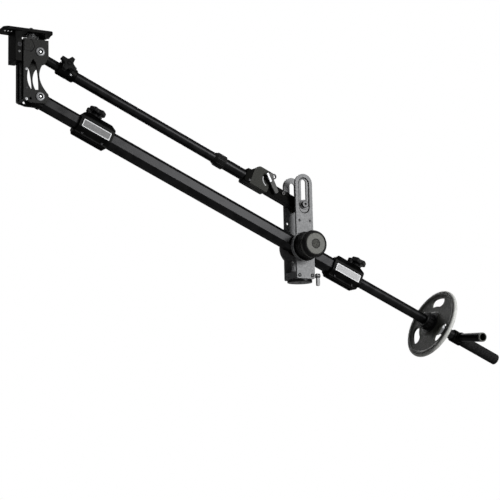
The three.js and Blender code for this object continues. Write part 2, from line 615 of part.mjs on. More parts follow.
// Weight bar with its collars, plate and handles
named(boomFrame, 'weight_bar', 'blackAnodised', cut(
  edgedDisc(bar.radius, bar.front, bar.rear, seatGap, axisX),
  rodSolid(bar.radius - bar.wall, bar.front - overrun, bar.rear - handle.gripEnd, axisX, smallSides)));
{
  const bore = rodSolid(bar.radius + slideFit, weight.front - weight.collarLength - overrun,
    weight.front + weight.thickness + weight.lockLength + overrun, axisX);
  const collarEnd = weight.front - seatGap;
  named(boomFrame, 'weight_stop_collar', 'rubber', cut(
    edgedDisc(weight.collarRadius, collarEnd - weight.collarLength, collarEnd, weight.collarEdge, axisX),
    bore));

  const half = weight.thickness / 2;
  const web = weight.webThickness / 2;
  const rimInner = weight.radius - weight.rimWidth;
  const disc = turned([[0, -half], [weight.hubRadius, -half], [weight.hubRadius + half - web, -web],
    [rimInner, -web], [rimInner + half - web, -half], [weight.radius - weight.rimEdge, -half],
    [weight.radius, -half + weight.rimEdge], [weight.radius, half - weight.rimEdge],
    [weight.radius - weight.rimEdge, half], [rimInner + half - web, half], [rimInner, web],
    [weight.hubRadius + half - web, web], [weight.hubRadius, half], [0, half]], axisX, fineSides);
  const gripMiddle = (weight.gripInner + weight.gripOuter) / 2;
  const gripHalf = (weight.gripOuter - weight.gripInner) / 2;
  const grips = Array.from({ length: weight.gripCount }, (_, i) => {
    const centre = Math.PI / 2 + (i * 2 * Math.PI) / weight.gripCount;
    const start = centre - weight.gripSpan;
    const end = centre + weight.gripSpan;
    const shape = new THREE.Shape();
    shape.absarc(0, 0, weight.gripOuter, start, end, false);
    shape.absarc(gripMiddle * Math.cos(end), gripMiddle * Math.sin(end), gripHalf, end, end + Math.PI, false);
    shape.absarc(0, 0, weight.gripInner, end, start, true);
    shape.absarc(gripMiddle * Math.cos(start), gripMiddle * Math.sin(start), gripHalf,
      start + Math.PI, start + 2 * Math.PI, false);
    return endExtrusion(shape, -weight.thickness, weight.thickness);
  });
  named(boomFrame, 'weight_plate', 'castIron',
    cut(cut(disc, ...grips).translate([weight.front + half, 0, 0]), bore));

  const lockStart = weight.front + weight.thickness + seatGap;
  const lockMiddle = lockStart + weight.lockLength / 2;
  const screwHole = rodSolid(weight.screwRadius + slideFit, bar.radius, weight.lockRadius + overrun,
    axisZ, smallSides).translate([lockMiddle, 0, 0]);
  named(boomFrame, 'weight_lock_collar', 'steel', cut(
    edgedDisc(weight.lockRadius, lockStart, lockStart + weight.lockLength, weight.collarEdge, axisX),
    bore, screwHole));
  const screwSeat = weight.lockRadius + seatGap;
  const stem = rodSolid(weight.screwRadius, screwSeat - weight.screwReach / 2,
    screwSeat + weight.screwReach / 2, axisZ, smallSides);
  const thumb = edgedDisc(weight.screwHeadRadius, screwSeat, screwSeat + weight.screwHeadLength,
    seatGap, axisZ, smallSides);
  named(boomFrame, 'lock_collar_screw', 'blackPlastic', joined(stem, thumb).translate([lockMiddle, 0, 0]));
}
{
  const clampEnd = handle.clampFront + handle.clampLength;
  const middle = (handle.clampFront + clampEnd) / 2;
  const collar = edgedDisc(handle.clampRadius, handle.clampFront, clampEnd, handle.clampEdge, axisX);
  const socket = rodSolid(handle.socketRadius, 0, handle.socketReach, axisY.clone().negate(), plainSides)
    .translate([middle, 0, 0]);
  const barBore = rodSolid(bar.radius + slideFit, handle.clampFront - overrun, clampEnd + overrun, axisX);
  const tubeRoom = rodSolid(handle.radius + slideFit, handle.socketDepth, handle.socketReach + overrun,
    axisY.clone().negate(), plainSides).translate([middle, 0, 0]);
  const droop = [THREE.MathUtils.radToDeg(handle.drop), 0, 0];
  named(boomFrame, 'handle_clamp', 'satinBlack',
    cut(joined(collar, socket), barBore, tubeRoom).rotate(droop));
  const tubeStart = handle.socketDepth + seatGap;
  const tube = sleeve(handle.radius - handle.wall, handle.radius, tubeStart, tubeStart + handle.length,
    axisY.clone().negate());
  named(boomFrame, 'side_handle', 'blackAnodised', tube.translate([middle, 0, 0]).rotate(droop));

  const gripFront = bar.rear + seatGap + handle.gripEnd - handle.gripLength;
  const gripRear = gripFront + handle.gripLength;
  const outer = edgedDisc(handle.gripRadius, gripFront, gripRear, handle.gripEdge / 2, axisX);
  const room = rodSolid(bar.radius + slideFit, gripFront - overrun, bar.rear + seatGap, axisX);
  named(boomFrame, 'rear_grip', 'rubber', cut(outer, room));
}

// Levelling rod, from the slot of the post to the top pivot of the head
{
  named(rodFrame, 'rod_main_tube', 'blackAnodised',
    sleeve(rod.mainRadius - rod.mainWall, rod.mainRadius, -rod.mainFront, -rod.mainRear, axisX));
  named(rodFrame, 'rod_rear_tube', 'blackAnodised',
    sleeve(rod.rearRadius - rod.rearWall, rod.rearRadius, -rod.rearFront, -rod.rearRear, axisX));
  named(rodFrame, 'rod_front_tube', 'blackAnodised',
    sleeve(rod.frontRadius - rod.frontWall, rod.frontRadius, -rod.frontStart, -rod.frontRear, axisX));

  const collarEnd = -rod.collarStart + rod.collarLength;
  const collar = turned([[0, -rod.collarStart], [rod.collarRadius - rod.collarEdge, -rod.collarStart],
    [rod.collarRadius, -rod.collarStart + rod.collarTaper],
    [rod.collarRadius, collarEnd - rod.collarEdge / 2],
    [rod.collarRadius - rod.collarEdge / 2, collarEnd], [0, collarEnd]], axisX);
  const stepAt = -rod.rearFront - seatGap;
  named(rodFrame, 'rod_lock_collar', 'satinBlack', cut(collar,
    rodSolid(rod.mainRadius + slideFit, -rod.collarStart - overrun, stepAt + overrun, axisX),
    rodSolid(rod.rearRadius + slideFit, stepAt, collarEnd + overrun, axisX)));
}
{
  const start = -starClamp.front;
  const end = start + starClamp.length;
  const body = edgedDisc(starClamp.radius, start, end, starClamp.edge, axisX);
  const pad = rodSolid(starClamp.padRadius, 0, starClamp.padReach, axisZ, smallSides);
  const step = -rod.mainFront - seatGap;
  const knobX = start + starClamp.knobOffset;
  const mainRoom = rodSolid(rod.mainRadius + slideFit, step, end + overrun, axisX);
  const frontRoom = rodSolid(rod.frontRadius + slideFit, start - overrun, step + overrun, axisX);
  const stemRoom = rodSolid(starClamp.stemRadius + slideFit, rod.frontRadius,
    starClamp.padReach + overrun, axisZ, smallSides);
  const lean = [THREE.MathUtils.radToDeg(starClamp.padTilt), 0, 0];
  const whole = joined(body, pad.rotate(lean).translate([knobX, 0, 0]));
  named(rodFrame, 'star_clamp', 'satinBlack',
    cut(whole, mainRoom, frontRoom, stemRoom.rotate(lean).translate([knobX, 0, 0])));

  const outline = lobedOutline(starClamp.knobRadius, starClamp.lobes, starClamp.lobeShare, lobeSteps);
  const wheel = flatKnob(outline, starClamp.knobThickness, starClamp.knobBevel)
    .rotate([0, 0, THREE.MathUtils.radToDeg(starClamp.turn)]).translate([0, 0, starClamp.hubLength]);
  const hub = rodSolid(starClamp.hubRadius, 0, starClamp.hubLength + starClamp.knobBevel, axisZ, smallSides);
  const stem = rodSolid(starClamp.stemRadius, -starClamp.stemLength, starClamp.hubLength, axisZ, smallSides);
  const knob = joined(wheel, hub, stem).translate([0, 0, starClamp.padReach + seatGap]);
  named(rodFrame, 'star_knob', 'blackPlastic', knob.rotate(lean).translate([knobX, 0, 0]));
}

// The eye that joins the front of the rod to the head
{
  const reach = boomReach - rod.frontStart - seatGap;
  const round = rodSolid(rod.eyeRadius, -headInner + seatGap, headInner - seatGap, axisY);
  const neck = rodSolid(rod.frontRadius, 0, reach, axisX);
  const plug = rodSolid(rod.frontRadius - rod.frontWall - slideFit, 0, reach + eye.plugLength,
    axisX, smallSides);
  const bore = rodSolid(eye.boreRadius, -head.gap, head.gap, axisY, smallSides);
  named(rodFrame, 'rod_front_eye', 'satinBlack',
    cut(joined(round, neck, plug), bore).translate([-boomReach, 0, 0]));
}

// Rod clamp with its cam lever, and the link that ends at the slot bolt
{
  const outline = roundedPolygon([
    [-rodClamp.front, rodClamp.low, rodClamp.edge], [-rodClamp.rear, rodClamp.low, rodClamp.edge],
    [-rodClamp.rear, rodClamp.crown, rodClamp.edge], [-rodClamp.crownFront, rodClamp.crown, rodClamp.edge],
    [-rodClamp.front + rodClamp.noseRun, rodClamp.noseTop, rodClamp.edge],
    [-rodClamp.front, rodClamp.noseTop, rodClamp.edge]]);
  const body = sideExtrusion(outline, -rodClamp.halfWidth, rodClamp.halfWidth);
  const tubeRoom = rodSolid(rod.rearRadius + slideFit, -rodClamp.front - overrun,
    -rod.rearRear + seatGap, axisX);
  const neckRoom = rodSolid(rod.neckRadius + slideFit, -rod.linkStart - rod.neckLength - seatGap,
    -rodClamp.rear + overrun, axisX);
  const pinRoom = rodSolid(cam.pinRadius + slideFit, -rodClamp.halfWidth - overrun,
    rodClamp.halfWidth + overrun, axisY, smallSides);
  const seat = [-cam.pinRun, 0, cam.pinRise];
  named(rodFrame, 'rod_clamp', 'satinBlack', cut(body, tubeRoom, neckRoom, pinRoom.translate(seat)));

  // The lever lies along the near face of the clamp, its pin through the clamp
  const leverBack = -rodClamp.halfWidth - seatGap;
  const leverFace = leverBack - cam.armThickness;
  const boss = rodSolid(cam.headRadius, leverFace, leverBack, axisY);
  const arm = sideExtrusion(roundedPolygon([
    [0, -cam.armWidth / 2], [cam.armLength, -cam.tipWidth / 2, cam.tipRound],
    [cam.armLength, cam.tipWidth / 2, cam.tipRound], [0, cam.armWidth / 2]]), leverFace, leverBack);
  const axle = rodSolid(cam.pinRadius, leverFace, rodClamp.halfWidth, axisY, smallSides);
  named(rodFrame, 'rod_cam_lever', 'steel',
    joined(boss, arm, axle).rotate([0, THREE.MathUtils.radToDeg(cam.slope), 0]).translate(seat));

  const half = rod.linkHeight / 2;
  const front = -rod.linkStart + seatGap;
  const shank = sideExtrusion(roundedPolygon([[front, -half, rodClamp.edge], [0, -half], [0, half],
    [front, half, rodClamp.edge]]), -rod.linkWidth / 2, rod.linkWidth / 2);
  const end = rodSolid(half, -rod.linkWidth / 2, rod.linkWidth / 2, axisY);
  const neck = rodSolid(rod.neckRadius, -rod.linkStart - rod.neckLength, 0, axisX, smallSides);
  const bore = rodSolid(slotBolt.radius + slideFit, -rod.linkWidth, rod.linkWidth, axisY, smallSides);
  named(rodFrame, 'rod_rear_link', 'satinBlack', cut(joined(shank, end, neck), bore));
}

// Slot bolt of the rod, with its spacers and nut
{
  const floor = plateOuter - post.recessDepth;
  const washerStart = floor + seatGap;
  const headStart = washerStart + slotBolt.washerLength;
  const headEnd = headStart + slotBolt.headLength;
  const outward = axisY.clone().negate();
  const boltBody = joined(
    rodSolid(slotBolt.radius, -(floor + seatGap + slotBolt.nutLength), headStart + seatGap,
      outward, smallSides),
    rodSolid(slotBolt.washerRadius, washerStart, headStart, outward),
    rodSolid(slotBolt.headRadius, headStart - seatGap, headEnd, outward));
  const socket = rodSolid(slotBolt.socketRadius, headEnd - slotBolt.socketDepth, headEnd + overrun,
    outward, hexSides);
  named(postFrame, 'slot_bolt', 'steel', cut(boltBody, socket).translate([0, 0, pivotSpan]));

  named(postFrame, 'slot_bolt_nut', 'steel', hexNut(slotBolt, floor + seatGap).translate([0, 0, pivotSpan]));

  const inner = rod.linkWidth / 2 + seatGap;
  const outer = plateInner - seatGap;
  [['rod_spacer_near', -outer, -inner], ['rod_spacer_far', inner, outer]].forEach(([name, from, to]) => {
    const ring = sleeve(slotBolt.radius + slideFit, slotBolt.washerRadius, from, to, axisY, smallSides);
    named(postFrame, name, 'brass', ring.translate([0, 0, pivotSpan]));
  });
}

// Camera head: two C-shaped plates on a front web
function headOutline() {
  const shape = new THREE.Shape();
  const bossAngle = Math.asin(head.bottom / head.lowerBoss);
  const bowStart = new THREE.Vector2(
    head.lowerBoss * Math.cos(head.bowAngle), head.lowerBoss * Math.sin(head.bowAngle));
  shape.moveTo(head.left, head.bottom + head.cornerDrop);
  shape.lineTo(head.left + head.cornerRun, head.bottom);
  shape.absarc(0, 0, head.lowerBoss, bossAngle, head.bowAngle, false);
  shape.lineTo(bowStart.x, bowStart.y);
  shape.quadraticCurveTo(head.bowX, head.bowZ, head.chinX, head.chinZ);
  shape.lineTo(head.jawX, head.jawZ);
  shape.lineTo(head.right, head.cheekZ);
  shape.lineTo(head.right, head.topZ);
  shape.lineTo(head.left, head.topZ);
  shape.closePath();
  return shape;
}

function headWindow() {
  const shape = new THREE.Shape();
  shape.moveTo(head.windowTopX, head.windowTopZ);
  shape.quadraticCurveTo(head.windowLeftX, head.windowLeftZ, head.windowFootX, head.windowFootZ);
  shape.lineTo(head.windowToeX, head.windowToeZ);
  shape.quadraticCurveTo(head.windowRightX, head.windowRightZ, head.windowNeckX, head.windowNeckZ);
  shape.closePath();
  return shape;
}

function headPlate(name, side) {
  const inner = headInner;
  const outer = headInner + head.plateThickness;
  const proud = outer + head.padHeight;
  const span = (from, to) => (side > 0 ? [from, to] : [-to, -from]);
  const plate = sideExtrusion(headOutline(), ...span(inner, outer));
  const window = sideExtrusion(headWindow(), ...span(inner - overrun, outer + overrun));
  const upperPad = rodSolid(head.padRadius, ...span(inner, proud), axisY).translate([0, 0, pivotSpan]);
  const lowerPad = rodSolid(head.lowerPad, ...span(inner, proud), axisY);
  const tab = sideExtrusion(roundedPolygon([
    [head.left, head.tabLow], [head.tabRight, head.tabLow, head.tabRound],
    [head.tabRight, head.tabHigh, head.tabRound], [head.left, head.tabHigh]]), ...span(inner, proud));
  const bores = [[0, 0], [0, pivotSpan]].map(([x, z]) => (
    rodSolid(head.pivotBore, -2 * outer, 2 * outer, axisY, smallSides).translate([x, 0, z])));
  const hole = rodSolid(head.holeRadius, -2 * outer, 2 * outer, axisY, smallSides)
    .translate([head.holeX, 0, head.holeZ]);
  named(headFrame, name, 'satinBlack', cut(joined(plate, upperPad, lowerPad, tab), window, hole, ...bores));
}

headPlate('head_plate_near', -1);
headPlate('head_plate_far', 1);

{
  const depth = headInner - seatGap;
  const back = head.webFront + head.webThickness;
  const web = block(head.webFront, back, -depth, depth, head.webLow, head.webTop);
  const groove = block(head.webFront - overrun, head.webFront + head.webSlotDepth,
    -head.webSlotWidth / 2, head.webSlotWidth / 2, head.webLow - overrun, platform.legLow - platform.legEdge);
  named(headFrame, 'head_web', 'satinBlack', cut(web, groove));
}

// Hinge pins of the head: a bolt with a broad head from the near side and a nut on the far side
[['lower', 0], ['upper', pivotSpan]].forEach(([place, z]) => {
  const seat = headInner + head.plateThickness + head.padHeight + seatGap;
  const outward = axisY.clone().negate();
  const bolt = turned([[0, -seat - pin.nutLength], [pin.radius, -seat - pin.nutLength], [pin.radius, seat],
    [pin.headRadius, seat], [pin.headRadius, seat + pin.headLength / 2], [pin.headRadius - pin.headLength / 2,
      seat + pin.headLength], [pin.coneRadius, seat + pin.headLength], [pin.coneRadius - pin.coneDepth,
      seat + pin.headLength - pin.coneDepth], [0, seat + pin.headLength - pin.coneDepth]], outward);
  named(headFrame, `head_${place}_pin`, 'steel', bolt.translate([0, 0, z]));
  named(headFrame, `head_${place}_nut`, 'steel', hexNut(pin, seat).translate([0, 0, z]));
});

// Camera platform on its leg, with the screw that fastens the camera
{
  const halfLeg = platform.legWidth / 2;
  const legTop = platform.underside - seatGap;
  const legEnd = platform.legFront + platform.legThickness;
  named(headFrame, 'platform_leg', 'satinBlack',
    sideExtrusion(roundedPolygon([
      [platform.legFront + platform.legEdge, platform.legLow], [legEnd, platform.legLow], [legEnd, legTop],
      [platform.legFront, legTop], [platform.legFront, platform.legLow + platform.legEdge]]),
    -halfLeg, halfLeg));

  const half = platform.depth / 2;
  const { left, right, corner, cornerRight } = platform;
  const outline = roundedPolygon([
    [left + corner, -half], [right - cornerRight, -half], [right, -half + cornerRight],
    [right, half - cornerRight], [right - cornerRight, half], [left + corner, half],
    [left, half - corner], [left, -half + corner]]);
  const plate = planExtrusion(outline, platform.underside, platform.underside + platform.thickness);
  const slot = (from, to, width) => planExtrusion(
    rectangle(from, to, -width / 2, width / 2, width / 3),
    platform.underside - overrun, platform.underside + platform.thickness + overrun);
  const ribOutline = roundedPolygon([
    [platform.ribStart, platform.underside - platform.ribDrop],
    [platform.ribFoot, platform.underside - platform.ribDrop],
    [platform.ribEnd, platform.underside + seatGap], [platform.ribStart, platform.underside + seatGap]]);
  const ribs = [-headInner - head.plateThickness, headInner].map((y) => (
    sideExtrusion(ribOutline, y, y + head.plateThickness)));
  named(headFrame, 'camera_platform', 'satinBlack', cut(joined(plate, ...ribs),
    slot(platform.mainSlotStart, platform.mainSlotEnd, platform.slotWidth),
    slot(platform.slotStart, platform.slotEnd, platform.smallSlotWidth)));

  const top = platform.underside + platform.thickness;
  const washerTop = platform.underside - seatGap;
  const washerLow = washerTop - cameraScrew.washerThickness;
  const wheelTop = washerLow - seatGap;
  const wheelLow = wheelTop - cameraScrew.knobThickness;
  const stud = rodSolid(cameraScrew.radius, wheelTop - cameraScrew.rootDepth, top + cameraScrew.rise,
    axisZ, smallSides);
  const wheel = planExtrusion(
    knurledOutline(cameraScrew.knobRadius, cameraScrew.knurlDepth, cameraScrew.knurls), wheelLow, wheelTop);
  named(headFrame, 'camera_screw', 'steel', joined(stud, wheel).translate([cameraScrew.x, 0, 0]));
  const washer = sleeve(cameraScrew.radius + slideFit, cameraScrew.washerRadius, washerLow, washerTop,
    axisZ, smallSides);
  named(headFrame, 'camera_screw_washer', 'steel', washer.translate([cameraScrew.x, 0, 0]));
}

export default crane;
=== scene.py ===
# Camera jib crane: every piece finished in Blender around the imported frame.
# Pieces are modelled in millimetres, level and at their own pivot, and placed() turns them into metres.
from math import acos, asin, cos, pi, radians, sin, sqrt
import bpy
from mathutils import Matrix, Vector


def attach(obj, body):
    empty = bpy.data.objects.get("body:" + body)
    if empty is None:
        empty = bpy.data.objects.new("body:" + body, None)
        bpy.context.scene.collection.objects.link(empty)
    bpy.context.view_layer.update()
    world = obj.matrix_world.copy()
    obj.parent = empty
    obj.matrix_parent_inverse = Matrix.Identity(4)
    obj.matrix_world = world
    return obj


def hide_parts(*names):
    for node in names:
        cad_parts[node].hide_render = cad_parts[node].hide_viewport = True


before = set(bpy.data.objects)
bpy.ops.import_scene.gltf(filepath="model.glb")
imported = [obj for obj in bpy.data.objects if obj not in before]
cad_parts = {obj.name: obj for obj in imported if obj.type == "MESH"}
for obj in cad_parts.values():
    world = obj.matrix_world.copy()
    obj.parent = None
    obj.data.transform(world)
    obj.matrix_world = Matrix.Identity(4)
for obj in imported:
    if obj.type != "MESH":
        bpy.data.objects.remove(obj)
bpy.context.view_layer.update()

linkage = {"pivotHeight": 87, "pivotSpan": 105, "boomReach": 755, "tilt": radians(24)}
millimetre = Matrix.Scale(0.001, 4)
tilted = Matrix.Rotation(linkage["tilt"], 4, "Y")
atPost = millimetre @ Matrix.Translation((0, 0, linkage["pivotHeight"]))
atBoom = atPost @ tilted
atSlot = atPost @ Matrix.Translation((0, 0, linkage["pivotSpan"]))
atRod = atSlot @ tilted
atHead = atPost @ Matrix.Translation(tilted @ Vector((-linkage["boomReach"], 0, 0)))

# Where the pieces of each body are modelled
bodyPlaces = (
    (millimetre, ("base",)), (atPost, ("post", "drag", "pan_lever")),
    (atBoom, ("boom", "extension", "front_knob", "rear_knob", "bar", "weights", "collar_screw", "handle")),
    (atRod, ("rod", "rod_front", "rod_collar", "star", "cam")),
    (atHead, ("head", "camera_bolt", "screw_slide")))
places = {body: place for place, bodies in bodyPlaces for body in bodies}
axisTurns = {"Z": (0, 0, 0), "-Z": (pi, 0, 0), "X": (0, pi / 2, 0), "-X": (0, -pi / 2, 0),
             "Y": (-pi / 2, 0, 0), "-Y": (pi / 2, 0, 0)}
gap = 0.3  # between pieces that meet
past = 4  # how far a cutter runs on past the face it cuts


# Modelling tools

def startFresh():
    if bpy.context.mode != "OBJECT":
        bpy.ops.object.mode_set(mode="OBJECT")
    bpy.ops.object.select_all(action="DESELECT")


def pick(piece):
    startFresh()
    piece.select_set(True)
    bpy.context.view_layer.objects.active = piece
    return piece


def pickAllIn(piece):
    pick(piece)
    bpy.ops.object.mode_set(mode="EDIT")
    bpy.ops.mesh.select_all(action="SELECT")


def settle(piece):
    pick(piece)
    bpy.ops.object.transform_apply(location=True, rotation=True, scale=True)
    return piece


def moved(piece, by=(0, 0, 0), turn=(0, 0, 0)):
    piece.rotation_euler = turn
    piece.location = by
    return settle(piece)


def facesOut(piece):
    pickAllIn(piece)
    bpy.ops.mesh.remove_doubles(threshold=0.0005)
    bpy.ops.mesh.normals_make_consistent(inside=False)
    bpy.ops.object.mode_set(mode="OBJECT")
    return piece


def modified(piece, kind, **settings):
    pick(piece)
    bpy.ops.object.modifier_add(type=kind)
    modifier = piece.modifiers[-1]
    for name, value in settings.items():
        setattr(modifier, name, value)
    bpy.ops.object.modifier_apply(modifier=modifier.name)
    return piece


# Rings of the given radius and height, extruded one from the last. A solid closes its ends, a hollow one
# returns to its first ring.
def turned(steps, axis="Z", at=(0, 0, 0), sides=72, hollow=False):
    radius, height = steps[0]
    startFresh()
    bpy.ops.mesh.primitive_circle_add(
        vertices=sides, radius=radius, fill_type="NOTHING" if hollow else "NGON", location=(0, 0, height))
    piece = bpy.context.active_object
    pickAllIn(piece)
    for nextRadius, nextHeight in steps[1:]:
        bpy.ops.mesh.extrude_region_move(TRANSFORM_OT_translate={"value": (0, 0, nextHeight - height)})
        grow = nextRadius / radius
        bpy.ops.transform.resize(value=(grow, grow, 1), center_override=(0, 0, nextHeight))
        radius, height = nextRadius, nextHeight
    bpy.ops.object.mode_set(mode="OBJECT")
    return moved(facesOut(settle(piece)), at, axisTurns[axis])


# Steps given as offsets from one radius and one height
def near(radius, height, *offsets):
    return [(radius + r, height + z) for r, z in offsets]


def ringSteps(inner, outer, low, high, edge=0.4):
    return [(inner + edge, low), (outer - edge, low), (outer, low + edge), (outer, high - edge),
            (outer - edge, high), (inner + edge, high), (inner, high - edge), (inner, low + edge),
            (inner + edge, low)]


def discSteps(radius, low, high, edge=0.6):
    soft = edge * 0.3
    return (near(radius, low, (-edge, 0), (-soft, soft), (0, edge))
            + near(radius, high, (0, -edge), (-soft, -soft), (-edge, 0)))


# An outline pulled out along an axis; the outline is (y, z) for X, (x, z) for Y and (x, y) for Z.
def prism(outline, low, high, axis="Y"):
    startFresh()
    bpy.ops.mesh.primitive_circle_add(vertices=len(outline), radius=1, fill_type="NGON")
    piece = bpy.context.active_object
    for corner, (u, v) in zip(piece.data.vertices, outline):
        corner.co = {"X": (low, u, v), "Y": (u, low, v), "Z": (u, v, low)}[axis]
    run = {"X": (high - low, 0, 0), "Y": (0, high - low, 0), "Z": (0, 0, high - low)}[axis]
    pickAllIn(piece)
    bpy.ops.mesh.extrude_region_move(TRANSFORM_OT_translate={"value": run})
    bpy.ops.object.mode_set(mode="OBJECT")
    return facesOut(piece)


def boxed(low, high):
    startFresh()
    bpy.ops.mesh.primitive_cube_add(size=1, location=[(a + b) / 2 for a, b in zip(low, high)])
    piece = bpy.context.active_object
    piece.scale = [b - a for a, b in zip(low, high)]
    return settle(piece)


def bored(radius, low, high, axis="Y", at=(0, 0, 0), sides=48):
    return turned([(radius, low), (radius, high)], axis, at, sides)


def combined(piece, operation, tools):
    for tool in tools:
        modified(piece, "BOOLEAN", operation=operation, solver="EXACT", object=tool)
        bpy.data.objects.remove(tool)
    return piece


def cutBy(piece, *tools):
    return combined(piece, "DIFFERENCE", tools)


def joinedTo(piece, *tools):
    return combined(piece, "UNION", tools)


# Flat faces that a cut has split are made one again, and then the edges are rounded.
def eased(piece, width, segments=2, angle=32, tidy=True):
    if tidy:
        pickAllIn(piece)
        bpy.ops.mesh.remove_doubles(threshold=0.002)
        bpy.ops.mesh.dissolve_limited(angle_limit=radians(0.5))
    return modified(piece, "BEVEL", width=width, segments=segments, limit_method="ANGLE",
                    angle_limit=radians(angle), use_clamp_overlap=True)


def copied(piece, by=(0, 0, 0), turn=(0, 0, 0)):
    pick(piece)
    bpy.ops.object.duplicate()
    return moved(bpy.context.active_object, by, turn)


def gathered(first, *others):
    pick(first)
    for other in others:
        other.select_set(True)
    if others:
        bpy.ops.object.join()
    return first


# Normals are weighted by area, so a flat face stays flat beside its rounded edge.
def placed(piece, name, body, finish, nodes=(), where=None):
    piece.name = name
    piece.data.name = name
    piece.matrix_world = (where or places[body]) @ piece.matrix_world
    settle(piece)
    bpy.ops.object.shade_smooth_by_angle(angle=radians(34))
    modified(piece, "WEIGHTED_NORMAL", keep_sharp=True)
    material, slotName = finishes[finish]
    piece.data.materials.clear()
    piece.data.materials.append(material)
    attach(piece, body)
    if nodes:
        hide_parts(*nodes)
    return piece


# A piece that stands for a solid of the CAD, named after it and the way it is made
def dressed(piece, node, way, body, finish, where=None):
    return placed(piece, f"{node}_{way}", body, finish, [node], where)


# Outlines

def arc(centre, radius, start, end, steps):
    return [(centre[0] + radius * cos(start + (end - start) * i / steps),
             centre[1] + radius * sin(start + (end - start) * i / steps)) for i in range(steps + 1)]


def curved(start, pull, end, steps=12):
    points = []
    for i in range(steps + 1):
        t = i / steps
        points.append(tuple(a * (1 - t) ** 2 + 2 * b * t * (1 - t) + c * t * t
                            for a, b, c in zip(start, pull, end)))
    return points


# Corners are (u, v, fillet); a fillet of 0 stays sharp.
def rounded(corners, steps=5):
    points = []
    for i, (u, v, fillet) in enumerate(corners):
        if fillet == 0:
            points.append((u, v))
            continue
        here = Vector((u, v))
        before, after = ((Vector(other[:2]) - here).normalized() * fillet
                         for other in (corners[i - 1], corners[(i + 1) % len(corners)]))
        points += curved(here + before, here, here + after, steps)
    return points


def oblong(centre, halfU, halfV, fillet):
    return rounded([(centre[0] + u * halfU, centre[1] + v * halfV, fillet)
                    for u, v in ((-1, -1), (1, -1), (1, 1), (-1, 1))])


def stadium(width, low, high, steps=20):
    return arc((0, high), width / 2, 0, pi, steps) + arc((0, low), width / 2, pi, 2 * pi, steps)


def octagon(width, chamfer, fillet=0):
    half, flat = width / 2, width / 2 - chamfer
    corners = [(half, -flat), (half, flat), (flat, half), (-flat, half), (-half, flat), (-half, -flat),
               (-flat, -half), (flat, -half)]
    return rounded([(u, v, fillet) for u, v in corners], 3)


# Four arms with blunt tips, and a hollow between each two
def crossed(k):
    corners = []
    for i in range(4):
        angle = i * pi / 2
        along, across = Vector((cos(angle), sin(angle))), Vector((-sin(angle), cos(angle)))
        corners += [(*(along * k["radius"] - across * k["tipHalf"]), k["tipFillet"]),
                    (*(along * k["radius"] + across * k["tipHalf"]), k["tipFillet"]),
                    (*((along + across).normalized() * k["valley"]), k["valleyFillet"])]
    return rounded(corners, 6)


def stripe(outline, innerOutline, low, high, axis="Y"):
    return cutBy(prism(outline, low, high, axis), prism(innerOutline, low - 2, high + 2, axis))


def ribbed(radius, depth, count, share=0.5):
    points = []
    for i in range(count):
        for turnShare, raised in ((0, 0), (0.5 - share / 2, 1), (0.5, 1), (0.5 + share / 2, 1), (0.999, 0)):
            angle = 2 * pi * (i + turnShare) / count
            reach = radius if raised else radius - depth
            points.append((reach * cos(angle), reach * sin(angle)))
    return points


print("tools ready")


# Materials: each is a maker's finish with its grain in Object coordinates. A cloud or a grain is given by its
# scale and detail, then its stretch, its tilt and its kind of texture. A finish without a grain takes its
# relief from the cloud that tints it, and the fine grain lies on top of that.
matt = {"metallic": 0, "gloss": 0.15, "edge": 1, "roughness": 0.5, "spread": None, "cloud": (260, 5),
        "bands": (0.35, 0.65), "grain": (2000, 2), "strength": 0.3, "depth": 0.0003, "fine": None}
# The dyed oxide keeps the metal's sheen face on and loses it at a slant: that is the dark edge tint.
oxide = {"metallic": 1, "gloss": 0.5, "edge": 0.46}
recipes = {
    "matt": {},
    "drawn": {**oxide, "roughness": 0.36, "spread": (-0.05, 0.05), "cloud": (45, 3), "strength": 0.12,
              "depth": 0.0002, "grain": (900, 3, (40, 1, 1), linkage["tilt"])},
    "cast": {**oxide, "roughness": 0.42, "spread": (0, 0.12), "cloud": (60, 4), "grain": (1400, 3),
             "strength": 0.25},
    "crinkle": {"roughness": 0.6, "spread": (0.08, -0.12), "cloud": (620, 2), "bands": (0.36, 0.56, 0.7),
                "grain": None, "strength": 0.5, "depth": 0.0005, "fine": (2200, 4)},
    "moulded": {"gloss": 0.05, "roughness": 0.42, "spread": (-0.06, 0.08), "cloud": (90, 3),
                "grain": (1700, 2)},
    "foam": {"gloss": 0.03, "roughness": 0.75, "cloud": (300, 4), "strength": 0.5, "depth": 0.0006,
             "grain": (520, 0, (1, 1, 1), 0, "Voronoi")},
    "iron": {"gloss": 0.06, "roughness": 0.42, "spread": (-0.12, 0.04), "cloud": (170, 5),
             "bands": (0.34, 0.62, 0.78), "grain": (420, 5), "strength": 0.6, "depth": 0.0009},
    "plated": {"metallic": 0.9, "gloss": 0.5, "roughness": 0.42, "spread": (-0.07, 0.1), "cloud": (120, 4),
               "grain": (1500, 3, (1, 6, 1)), "strength": 0.15, "depth": 0.0002},
    "brushed": {"metallic": 0.2, "gloss": 0.3, "spread": (-0.12, 0.05), "bands": (0.3, 0.7), "grain": None,
                "cloud": (1600, 4, (30, 1, 1), linkage["tilt"]), "strength": 0.15, "depth": 0.0002},
    "sintered": {"metallic": 0.85, "gloss": 0.5, "edge": 0.2, "cloud": (1800, 4), "grain": None,
                 "depth": 0.0002},
}


